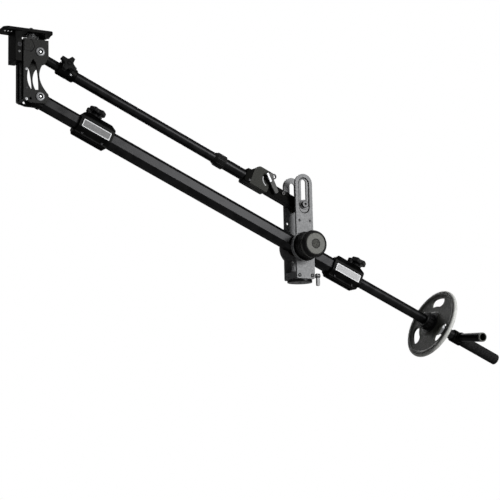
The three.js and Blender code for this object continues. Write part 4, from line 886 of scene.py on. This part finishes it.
def handlePieces():
    h = handle
    front, end, droop = h["front"], h["front"] + h["length"], (h["droop"], 0, 0)
    at = ((front + end) / 2, 0, 0)
    collar = turned(discSteps(h["clamp"], front, end, 2), "X", sides=96)
    joinedTo(collar, turned(discSteps(h["socket"], 0, h["socketReach"], 1.2), "-Y", at))
    room = bored(h["radius"] + gap, h["socketDepth"], h["socketReach"] + past, "-Y", at, 72)
    slit = boxed((front - past, 6, -0.8), (end + past, 30, 0.8))
    cutBy(collar, bored(bar["radius"] + gap, front - past, end + past, "X", sides=72), room, slit)
    dressed(moved(eased(collar, 0.5, 2, 40), turn=droop), "handle_clamp", "machined", "handle", "cast")
    start, radius, wall = h["socketDepth"] + gap, h["radius"], h["radius"] - h["wall"]
    tip = start + h["reach"]
    grip = turned([(wall, tip - 6), (h["root"] - h["wall"], start), (h["root"], start), (radius, tip - 6),
                   (wall, tip - 6)], "-Y", at, 96, hollow=True)
    ring = turned([(wall, tip - 5.8), *near(radius, tip, (-0.4, -5.8), (0, -5), (0, -1.2), (-0.8, 0)),
                   *near(wall, tip, (0.6, 0), (0, -0.6), (0, -5.8))], "-Y", at, 96, hollow=True)
    placed(moved(grip, turn=droop), "side_handle_tube", "handle", "tube", ["side_handle"])
    placed(moved(ring, turn=droop), "side_handle_ring", "handle", "face")
    front = bar["rear"] + gap + h["gripEnd"] - h["gripLength"]
    rear, skin, inside = front + h["gripLength"], h["grip"], bar["radius"] + gap
    steps = [(inside, bar["rear"] + gap), (inside, front),
             *near(skin, front, (-1, 0), (-0.2, 0.6), (0, 1.6), (0, 3))]
    for i in range(3):
        steps += near(skin, front + 4 + i * 2.4, (-0.5, 0), (-0.5, 0.6), (0, 1), (0, 1.6))
    steps += near(skin, rear, (0, -5), (-0.4, -4.6), (-0.4, -4.1), (0, -3.8), (0, -2.4), (-0.5, -1),
                  (-1.8, 0))
    dressed(turned(steps, "X", sides=96), "rear_grip", "foam", "bar", "rubber")


# Levelling rod

rod = {
    "main": 12.4, "mainWall": 1.3, "mainFront": 668, "mainRear": 166, "front": 10.9, "frontWall": 1.5,
    "frontStart": 734, "frontRear": 300, "rear": 14.2, "rearWall": 1.4, "rearFront": 250, "rearRear": 138,
    "collar": 17.4, "collarLength": 31, "collarStart": 257.5, "eye": 14, "linkHeight": 28, "linkWidth": 22,
    "linkStart": 99, "neck": 10, "neckLength": 26,
}


def rodTubes():
    for node, body, radius, wall, low, high in (
            ("rod_main_tube", "rod", rod["main"], rod["mainWall"], -rod["mainFront"], -rod["mainRear"]),
            ("rod_rear_tube", "rod", rod["rear"], rod["rearWall"], -rod["rearFront"], -rod["rearRear"]),
            ("rod_front_tube", "rod_front", rod["front"], rod["frontWall"], -rod["frontStart"],
             -rod["frontRear"])):
        shell = turned(ringSteps(radius - wall, radius, low, high, 0.3), "X", sides=80, hollow=True)
        dressed(shell, node, "drawn", body, "tube")
    radius, start = rod["collar"], -rod["collarStart"]
    end = start + rod["collarLength"]
    grip = prism(ribbed(radius - 0.1, 0.8, 26, 0.6), start + 8, end - 3, "X")
    cone = turned([(rod["main"] + 1.2, start),
                   *near(radius, start, (-1.6, 5), (-0.5, 6.5), (-0.5, 9), (-1.2, 9.5)),
                   *near(radius, end, (-1.2, -5), (0, -3.6), (0, -1.6), (-1.4, 0))], "X")
    joinedTo(cone, eased(grip, 0.3, 2, 50, tidy=False))
    cutBy(cone, bored(rod["main"] + gap, start - past, end + past, "X", sides=72),
          bored(rod["rear"] + gap, -rod["rearFront"] - gap, end + past, "X", sides=72))
    dressed(cone, "rod_lock_collar", "moulded", "rod_collar", "moulded")


star = {"radius": 16.6, "length": 47, "front": 698, "padReach": 21, "pad": 9, "lean": radians(74),
        "offset": 13}
starKnob = {"radius": 22, "tipHalf": 4.6, "valley": 11, "tipFillet": 2.2, "valleyFillet": 4.5, "thick": 9,
            "dish": 5, "hub": 8.5, "hubLength": 4, "stem": 3, "stemLength": 6, "turn": radians(72)}


def starPieces():
    radius, pad, top, start = star["radius"], star["pad"], star["padReach"], -star["front"]
    end = start + star["length"]
    spot, lean = (start + star["offset"], 0, 0), (star["lean"], 0, 0)
    body = turned([(rod["front"] + 2.5, start),
                   *near(radius, start, (-1.2, 1), (0, 2.4), (0, 27), (-0.8, 28), (-0.8, 30), (0, 31)),
                   *near(radius, end, (0, -4), (-1, -1.4), (-3, 0))], "X", sides=80)
    boss = turned([(pad + 1.5, 8), (pad, 17), (pad, top - 0.6), (pad - 0.6, top)], sides=48)
    joinedTo(body, moved(boss, spot, lean))
    cutBy(body, bored(rod["main"] + gap, -rod["mainFront"] - gap, end + past, "X", sides=72),
          bored(rod["front"] + gap, start - past, end, "X", sides=72))
    dressed(body, "star_clamp", "cast", "rod", "cast")
    fastened("star_clamp_screw", "rod", [(end - 15, -radius + 3, -7)], "-Y", (2.6, 2.2, 1.2), "dullSteel")
    k = starKnob
    wheel = moved(knobWheel(k), turn=(0, 0, k["turn"]))
    hub = turned([(k["stem"], -k["stemLength"]), (k["stem"], 0), (k["hub"] - 0.8, 0), (k["hub"], 0.8),
                  (k["hub"], k["hubLength"] + 2)])
    whole = moved(gathered(wheel, hub), (0, 0, top + gap))
    dressed(moved(whole, spot, lean), "star_knob", "moulded", "star", "moulded")


def rodEye():
    reach = linkage["boomReach"] - rod["frontStart"] - gap
    boss = eyeBoss(rod["eye"])
    neck = bored(rod["front"], 0, reach, "X", sides=64)
    joinedTo(boss, neck, bored(rod["front"] - rod["frontWall"] - gap, 0, reach + eye["plug"], "X",
                               sides=64))
    cutBy(boss, bored(eye["bore"], -40, 40))
    dressed(moved(boss, (-linkage["boomReach"], 0, 0)), "rod_front_eye", "cast", "rod_front", "cast")


block = {"front": 168, "rear": 99, "half": 16, "low": -17, "nose": 17, "noseRun": 10, "noseLength": 17,
         "crown": 37, "crownFront": 141, "pocket": 21, "pocketDepth": 3.4, "pocketX": 3, "pocketZ": -6,
         "mouth": 17.5}
cam = {"run": 108, "rise": 23, "pin": 3.2, "head": 10, "width": 14, "tip": 12, "thick": 6, "length": 45,
       "slope": radians(41), "bandWidth": 7, "bandLength": 25}


def rodClamp():
    b = block
    front, rear, half = -b["front"], -b["rear"], b["half"]
    outline = rounded([(front, b["low"], 5), (rear, b["low"], 4), (rear, b["crown"], 5),
                       (-b["crownFront"], b["crown"], 6), (front + b["noseRun"], b["nose"], 5),
                       (front, b["nose"], 2)], 5)
    body = eased(prism(outline, -half, half), 2.2, 3)
    hollow = (-cam["run"] + b["pocketX"], 0, cam["rise"] + b["pocketZ"])
    tubeRoom = bored(rod["rear"] + gap, front - past, -rod["rearRear"] + gap, "X", sides=72)
    neckRoom = bored(rod["neck"] + gap, -rod["linkStart"] - rod["neckLength"] - gap, rear + past, "X")
    slit = boxed((front - past, -1, b["low"] - past), (-rod["rearRear"], 1, -rod["rear"] + 2))
    pinRoom = bored(cam["pin"] + gap, -30, 30, at=(-cam["run"], 0, cam["rise"]))
    pocket = turned([(b["mouth"], half - b["pocketDepth"]), (b["pocket"], half + 0.5)], "-Y", hollow, 72)
    cutBy(body, tubeRoom, neckRoom, slit, pinRoom, pocket)
    eased(body, 0.4, 2, 40)
    # The nose is cut off the same casting only to take the near black: painted shade.
    noseEnd = front + b["noseLength"]
    nose = cutBy(copied(body), boxed((noseEnd, -60, -60), (0, 60, 90)))
    cutBy(body, boxed((-300, -60, -60), (noseEnd + 0.2, 60, 90)))
    placed(nose, "rod_clamp_nose", "rod", "paintedShadeBlack")
    dressed(body, "rod_clamp", "cast", "rod", "clampGrey")
    # A bright arc on the lower left of the pocket's mouth only: a painted highlight of the lit pocket wall.
    lip = stripe(arc((0, 0), b["mouth"] + 2.2, radians(182), radians(262), 20) + [(0, 0)],
                 arc((0, 0), b["mouth"] - 0.6, radians(170), radians(280), 24) + [(0.5, 0.5)], -half - 0.5,
                 -half + 2.4)
    placed(eased(moved(lip, hollow), 0.3, 2, 40), "rod_clamp_pocket_highlight", "rod", "leverBright")
    fastened("rod_clamp_screws", "rod", [(-154, -half + 0.4, -10.5)], "-Y", (3.2, 2.4, 1.5), "blackSteel")


def camPieces():
    half, length, slope = block["half"], cam["length"], (0, cam["slope"], 0)
    back = -half - gap
    face = back - cam["thick"]
    boss = turned(discSteps(cam["head"], -back, -face, 1.2), "-Y")
    shoulder, tip = cam["width"] / 2, cam["tip"] / 2
    arm = prism(rounded([(-2, -shoulder, 0), (length * 0.5, -shoulder, 6), (length, -tip, 5),
                         (length, tip, 5), (length * 0.5, shoulder, 6), (-2, shoulder, 0)]), face + 1.2,
                back)
    joinedTo(boss, eased(arm, 1.4, 3, 40))
    whole = gathered(boss, bored(cam["pin"], -back - 4, half))
    dressed(moved(whole, (-cam["run"], 0, cam["rise"]), slope), "rod_cam_lever", "cast", "cam", "leverDark")
    band = prism(oblong((0, 0), cam["bandLength"] / 2, cam["bandWidth"] / 2, 2), face - 2, face + 1)
    placed(moved(eased(band, 1.6, 4, 40), (-cam["run"] - 2.5, 0, cam["rise"] - 4), slope), "rod_cam_band",
           "cam", "dullSteel")
    ring = turned(ringSteps(4.2, 7, -2.5, 2.5, 0.7), "Y", (-94, -9, 33), 40, hollow=True)
    placed(ring, "rod_clamp_ring", "rod", "blackSteel")


def rodLink():
    half, width, start = rod["linkHeight"] / 2, rod["linkWidth"] / 2, -rod["linkStart"]
    front = start + gap
    outline = [(front, -half + 3), (front + 3, -half), *arc((0, 0), half, -pi / 2, pi / 2, 36),
               (front + 3, half), (front, half - 3)]
    link = prism(outline, -width, width)
    cutBy(link, *[boxed((-84, low, -5), (-24, high, 5))
                  for low, high in ((-40, -width + 1.6), (width - 1.6, 40))])
    eased(link, 1.2, 3)
    joinedTo(link, bored(rod["neck"], start - rod["neckLength"], start + 4, "X"))
    cutBy(link, bored(slotBolt["radius"] + gap, -30, 30))
    # The link takes the near black of painted shade.
    dressed(link, "rod_rear_link", "cast", "rod", "paintedShadeBlack")
    fastened("rod_link_screw", "rod", [(-54, -width + 1.2, 7)], "-Y", (5, 2.2, 2), "leverDark")


# Camera head

head = {
    "inner": 19, "thick": 5, "pad": 1.2, "left": -40, "bottom": -15, "top": 134, "right": 21, "boss": 21,
    "line": 2.4, "bowAngle": radians(22), "bow": (-13.9, 42.5), "chin": (5, 74), "jaw": (10.5, 76.5),
    "cheek": 94, "windowTop": (-17, 87), "windowLeft": (-43.5, 41.5), "windowFoot": (-20, 14),
    "windowToe": (-3, 16), "windowRight": (-3, 50), "windowNeck": (-11, 80), "upperPad": 17, "lowerPad": 15,
    "bore": 5.3, "tabLow": 105, "tabHigh": 131, "tabRight": -14, "tabRound": 3, "tabPoint": 7, "hole": 3.4,
    "holeX": -23, "holeZ": -6, "cornerDrop": 6, "cornerRun": 20, "rebate": 3.6, "screwX": -33,
    "webFront": -43.3, "webThick": 13, "webLow": -9, "webTop": 132, "groove": 12, "grooveDepth": 3,
}


def headOutline():
    h = head
    boss = arc((0, 0), h["boss"], asin(h["bottom"] / h["boss"]), h["bowAngle"], 16)
    return [(h["left"], h["bottom"] + h["cornerDrop"]), (h["left"] + h["cornerRun"], h["bottom"]), *boss,
            *curved(boss[-1], h["bow"], h["chin"], 16)[1:], h["jaw"], (h["right"], h["cheek"]),
            (h["right"], h["top"]), (h["left"], h["top"])]


def headWindow():
    return (curved(head["windowTop"], head["windowLeft"], head["windowFoot"], 18)
            + curved(head["windowToe"], head["windowRight"], head["windowNeck"], 16))


def headPlate(node, side):
    h = head
    left, right, top, rebate = h["left"], h["right"], h["top"], h["rebate"]
    outer = h["inner"] + h["thick"]
    proud = outer + h["pad"]

    def sideSpan(low, high):
        return sorted((side * low, side * high))

    plate = prism(headOutline(), *sideSpan(h["inner"], outer))
    cutBy(plate, prism(headWindow(), -60, 60))
    low, high = sideSpan(outer - 0.9, outer + past)
    cutBy(plate, boxed((right - rebate, low, h["cheek"] - 8), (right + past, high, top + past)),
          boxed((h["tabRight"] + 6, low, top - rebate), (right + past, high, top + past)))
    eased(plate, 0.8, 3)
    # The pads of both plates stand on the far side.
    pads = [turned(ringSteps(h["bore"], radius, outer - 1, proud, 0.5), "Y", (0, 0, z), hollow=True)
            for radius, z in ((h["lowerPad"], 0), (h["upperPad"], linkage["pivotSpan"]))]
    tabLow, tabHigh, point, soft, line = h["tabLow"], h["tabHigh"], h["tabRight"], h["tabRound"], h["line"]
    middle, back = tabLow + 11, point - h["tabPoint"]
    tab = prism(rounded([(left + 1.5, tabLow, 1), (back, tabLow, soft), (point, middle, 2),
                         (back, tabHigh, soft), (left + 1.5, tabHigh, 1)]), *sideSpan(outer - 1, proud))
    eased(tab, 0.5, 2, 40)
    # A dark band round the tab on the plate's face: a painted shadow of the tab's edge.
    edge = stripe(
        rounded([(back - 4, tabLow - line, 1), (back + 1, tabLow - line, soft), (point + line, middle, 2),
                 (back + 1, top - 1, soft), (back - 4, top - 1, 1)]),
        rounded([(left - 4, tabLow, 1), (back, tabLow, soft), (point, middle, 2), (back, tabHigh, soft),
                 (left - 4, tabHigh, 1)]), *sideSpan(outer - 0.5, outer + 0.15))
    placed(edge, node + "_tab_shade_edge", "head", "cast")
    bores = [bored(h["bore"], -60, 60, at=(0, 0, z)) for z in (0, linkage["pivotSpan"])]
    cutBy(plate, *bores, bored(h["hole"], -60, 60, at=(h["holeX"], 0, h["holeZ"])))
    dressed(gathered(plate, tab, *pads), node, "cut", "head", "headPlate")


def headPin(place, z):
    seat = head["inner"] + head["thick"] + head["pad"] + gap
    pin = turned([(5, -seat - 6), (5, seat),
                  *near(9.8, seat, (0, 0), (0.6, 0.4), (0.4, 0.9), (-1.2, 1.9), (-3, 2.5), (-3.6, 2.4),
                        (-4.2, 1.2))], "-Y", (0, 0, z))
    dressed(pin, f"head_{place}_pin", "turned", "head", "dullSteel")
    core = turned(near(5.5, seat, (0, 1), (0, 1.5), (-1.1, 1.9), (-2.5, 1.9)), "-Y", (0, 0, z), 40)
    placed(core, f"head_{place}_pin_core", "head", "cast")
    # A bright steel dot set off the pin's centre: a painted highlight.
    tip = turned(near(2.3, seat, (0, 1.6), (0, 2.1), (-0.8, 2.5)), "-Y", (-0.8, 0, z), 24)
    placed(tip, f"head_{place}_pin_glint", "head", "steel")
    nut = turned(near(9, seat, (-0.8, 0), (0, 0.6), (0, 5.4), (-0.8, 6)), "Y", (0, 0, z), 6)
    cutBy(nut, bored(head["bore"], seat - past, seat + 10, at=(0, 0, z)))
    dressed(eased(nut, 0.3), f"head_{place}_nut", "hex", "head", "dullSteel")


def headPieces():
    h = head
    headPlate("head_plate_near", -1)
    headPlate("head_plate_far", 1)
    front, low, depth, groove = h["webFront"], h["webLow"], h["inner"] - gap, h["groove"] / 2
    web = boxed((front, -depth, low), (front + h["webThick"], depth, h["webTop"]))
    cutBy(web, boxed((front - past, -groove, low - past),
                     (front + h["grooveDepth"], groove, platform["legLow"] - 1.5)))
    dressed(eased(web, 0.8, 3), "head_web", "cast", "head", "web")
    headPin("lower", 0)
    headPin("upper", linkage["pivotSpan"])
    for side, axis, name in ((-1, "-Y", "near"), (1, "Y", "far")):
        y = side * (h["inner"] + h["thick"] - 0.5)
        for z, radius, finish, place in ((-8, 3.6, "dullSteel", "foot"), (18, 3.4, "blackSteel", "lower"),
                                         (62, 3.4, "dullSteel", "upper")):
            fastened(f"head_{place}_screw_{name}", "head", [(h["screwX"], y, z)], axis, (radius, 1.6, 1.5),
                     finish, domed=True)


platform = {
    "left": -86, "right": 32, "depth": 50, "thick": 7, "under": 150, "corner": 8, "cornerRight": 4,
    "slot": 10, "smallSlot": 6.4, "slotStart": -81, "slotEnd": -65, "mainStart": -30, "mainEnd": 22,
    "legFront": -60, "legThick": 16.4, "legWidth": 48, "legLow": 79, "ribStart": 12, "ribEnd": 30,
    "ribFoot": 22, "ribDrop": 11,
}


def platformPieces():
    p = platform
    half, legHalf, under, top = p["depth"] / 2, p["legWidth"] / 2, p["under"], p["under"] + p["thick"]
    leg = boxed((p["legFront"], -legHalf, p["legLow"]),
                (p["legFront"] + p["legThick"], legHalf, under - gap))
    dressed(eased(leg, 1.1, 3), "platform_leg", "milled", "head", "cast")
    side = -legHalf + 0.6
    fastened("leg_upper_bolt", "head", [(-50, side, 117)], "-Y", (5.6, 2.2, 2.6), "blackSteel")
    fastened("leg_lower_bolt", "head", [(-50.5, side, 101)], "-Y", (3.2, 2, 1.2), "leverBright", domed=True)
    specks = [(x, y, under + 0.6) for x, y in ((-79, -9), (-71.5, -9), (-63, -8))]
    fastened("platform_low_screws", "head", specks, "-Z", (2, 2.2, 0.8), "steel", domed=True)
    left, right, big, small = p["left"], p["right"], p["corner"], p["cornerRight"]
    outline = rounded([
        (left + big, -half, 2), (right - small, -half, 1), (right, -half + small, 1),
        (right, half - small, 1), (right - small, half, 1), (left + big, half, 2), (left, half - big, 2),
        (left, -half + big, 2)], 4)
    plate = prism(outline, under, top, "Z")
    ribOutline = [(p["ribStart"], under - p["ribDrop"]), (p["ribFoot"], under - p["ribDrop"]),
                  (p["ribEnd"], under + 1), (p["ribStart"], under + 1)]
    joinedTo(plate, *[prism(ribOutline, y, y + head["thick"])
                      for y in (-head["inner"] - head["thick"], head["inner"])])
    for start, end, width in ((p["mainStart"], p["mainEnd"], p["slot"]),
                              (p["slotStart"], p["slotEnd"], p["smallSlot"])):
        reach = width / 2
        slot = (arc((end - reach, 0), reach, -pi / 2, pi / 2, 14)
                + arc((start + reach, 0), reach, pi / 2, 3 * pi / 2, 14))
        cutBy(plate, prism(slot, under - past, top + past, "Z"))
    dressed(eased(plate, 0.8, 3), "camera_platform", "milled", "head", "cast")


cameraBolt = {"x": -13, "radius": 4.7, "rise": 9, "threads": 6, "root": 4, "wheel": 9.5, "thick": 5.5,
              "washer": 10.5, "washerThick": 1.9, "bailReach": 19, "bailHalf": 7.5, "bailWire": 3.4,
              "bailTurn": radians(15)}


def cameraScrew():
    c = cameraBolt
    radius, top = c["radius"], platform["under"] + platform["thick"]
    washerTop = platform["under"] - gap
    washerLow = washerTop - c["washerThick"]
    wheelTop = washerLow - gap
    washer = turned(ringSteps(radius + gap, c["washer"], washerLow, washerTop, 0.3), at=(c["x"], 0, 0),
                    hollow=True)
    dressed(washer, "camera_screw_washer", "turned", "screw_slide", "dullSteel")
    wheel = prism(ribbed(c["wheel"], 0.7, 22), wheelTop - c["thick"], wheelTop, "Z")
    eased(wheel, 0.5, 2, 50, tidy=False)
    wire, reach, half, low = c["bailWire"], c["bailReach"], c["bailHalf"], wheelTop - 0.8
    bail = stripe(rounded([(-2, -half, 1), (reach, -half, 6), (reach, half, 6), (-2, half, 1)]),
                  rounded([(1.4, -half + wire, 1), (reach - wire, -half + wire, 3.4),
                           (reach - wire, half - wire, 3.4), (1.4, half - wire, 1)]), low - wire, low, "Z")
    wheel = gathered(wheel, moved(eased(bail, 0.9, 3, 40), turn=(0, 0, c["bailTurn"])))
    steps = [(radius, wheelTop - c["root"]), (radius, top + 0.5)]
    for i in range(c["threads"]):
        steps += [(radius - 0.5, top + 1 + i * 1.2), (radius, top + 1.6 + i * 1.2)]
    stud = turned(steps + [(radius - 0.9, top + c["rise"])], sides=40)
    dressed(moved(gathered(wheel, stud), (c["x"], 0, 0)), "camera_screw", "knurled", "camera_bolt",
            "leverBright")


# Floor, light and camera

studio = {"floorHeight": -0.95, "floorSize": 14, "floorTone": 0.24, "glow": 0.7, "sky": 0.015}
lamps = {
    "key": {"at": (1.4, -3.05, 0.8), "size": 1.1, "watts": 128},
    "fill": {"at": (-2.4, -2.0, 1.6), "size": 1.8, "watts": 1},
    "back": {"at": (1.3, 3.2, 1.5), "size": 1.8, "watts": 110},
}
view = {"at": (-1.8738, -3.1098, -0.4641), "yaw": radians(29.156), "pitch": radians(8.605),
        "roll": radians(-1.25), "focalPixels": 1479, "imagePixels": 500, "sensor": 36}


# One for the rays that should see the pale background: the camera's, and those off gloss and through glass
def backdropRays(nodes, links):
    path = nodes.new("ShaderNodeLightPath")
    seen, through = nodes.new("ShaderNodeMath"), nodes.new("ShaderNodeMath")
    seen.operation = through.operation = "MAXIMUM"
    links.new(path.outputs["Is Camera Ray"], seen.inputs[0])
    links.new(path.outputs["Is Glossy Ray"], seen.inputs[1])
    links.new(seen.outputs["Value"], through.inputs[0])
    links.new(path.outputs["Is Transmission Ray"], through.inputs[1])
    return through.outputs["Value"]


def floorPiece():
    startFresh()
    bpy.ops.mesh.primitive_plane_add(size=studio["floorSize"], location=(0, 0, studio["floorHeight"]))
    floor = bpy.context.active_object
    floor.name = "studio_floor"
    material = bpy.data.materials.new("paleFloor")
    material.use_nodes = True
    nodes, links = material.node_tree.nodes, material.node_tree.links
    nodes.clear()
    out = nodes.new("ShaderNodeOutputMaterial")
    matte = nodes.new("ShaderNodeBsdfDiffuse")
    matte.inputs["Color"].default_value = (studio["floorTone"],) * 3 + (1,)
    glow = nodes.new("ShaderNodeEmission")
    level = nodes.new("ShaderNodeMath")
    level.operation = "MULTIPLY"
    level.inputs[1].default_value = studio["glow"]
    both = nodes.new("ShaderNodeAddShader")
    links.new(backdropRays(nodes, links), level.inputs[0])
    links.new(level.outputs["Value"], glow.inputs["Strength"])
    links.new(matte.outputs["BSDF"], both.inputs[0])
    links.new(glow.outputs["Emission"], both.inputs[1])
    links.new(both.outputs["Shader"], out.inputs["Surface"])
    floor.data.materials.append(material)


def worldPieces():
    world = bpy.data.worlds.new("studioWorld")
    bpy.context.scene.world = world
    world.use_nodes = True
    nodes, links = world.node_tree.nodes, world.node_tree.links
    nodes.clear()
    out = nodes.new("ShaderNodeOutputWorld")
    mix = nodes.new("ShaderNodeMixShader")
    links.new(backdropRays(nodes, links), mix.inputs["Fac"])
    for i, strength in ((1, studio["sky"]), (2, 1)):
        white = nodes.new("ShaderNodeBackground")
        white.inputs["Color"].default_value = (1, 1, 1, 1)
        white.inputs["Strength"].default_value = strength
        links.new(white.outputs["Background"], mix.inputs[i])
    links.new(mix.outputs["Shader"], out.inputs["Surface"])


def lightPieces():
    aim = Vector((-0.1, 0, 0.2))
    for name, lamp in lamps.items():
        bpy.ops.object.light_add(type="AREA", location=lamp["at"])
        light = bpy.context.active_object
        light.name = name + "_light"
        light.data.size = lamp["size"]
        light.data.energy = lamp["watts"]
        light.rotation_euler = (aim - Vector(lamp["at"])).to_track_quat("-Z", "Y").to_euler()


def cameraPiece():
    yaw, pitch, roll = view["yaw"], view["pitch"], view["roll"]
    forward = Vector((sin(yaw) * cos(pitch), cos(yaw) * cos(pitch), sin(pitch)))
    right = forward.cross(Vector((0, 0, 1))).normalized()
    up = right.cross(forward)
    axes = (right * cos(roll) + up * sin(roll), up * cos(roll) - right * sin(roll), -forward)
    bpy.ops.object.camera_add(location=view["at"])
    camera = bpy.context.active_object
    camera.matrix_world = Matrix.Translation(view["at"]) @ Matrix(axes).transposed().to_4x4()
    camera.data.sensor_width = view["sensor"]
    camera.data.lens = view["focalPixels"] * view["sensor"] / view["imagePixels"]
    bpy.context.scene.camera = camera


bpy.context.scene.view_settings.view_transform = "Standard"
stages = {
    "studio": (cameraPiece, lightPieces, floorPiece, worldPieces),
    "post, pivot and slot": (panPieces, postPieces, panLever, pivotPieces, dragKnob, slotPieces),
    "boom": (boomTube, clampPieces, clampKnobs, extensionPieces),
    "weight bar": (barPieces, weightPieces, handlePieces),
    "rod": (rodTubes, starPieces, rodEye, rodClamp, camPieces, rodLink),
    "head": (headPieces, platformPieces, cameraScrew),
}
for stage, makers in stages.items():
    for make in makers:
        make()
    print(stage, "ready")
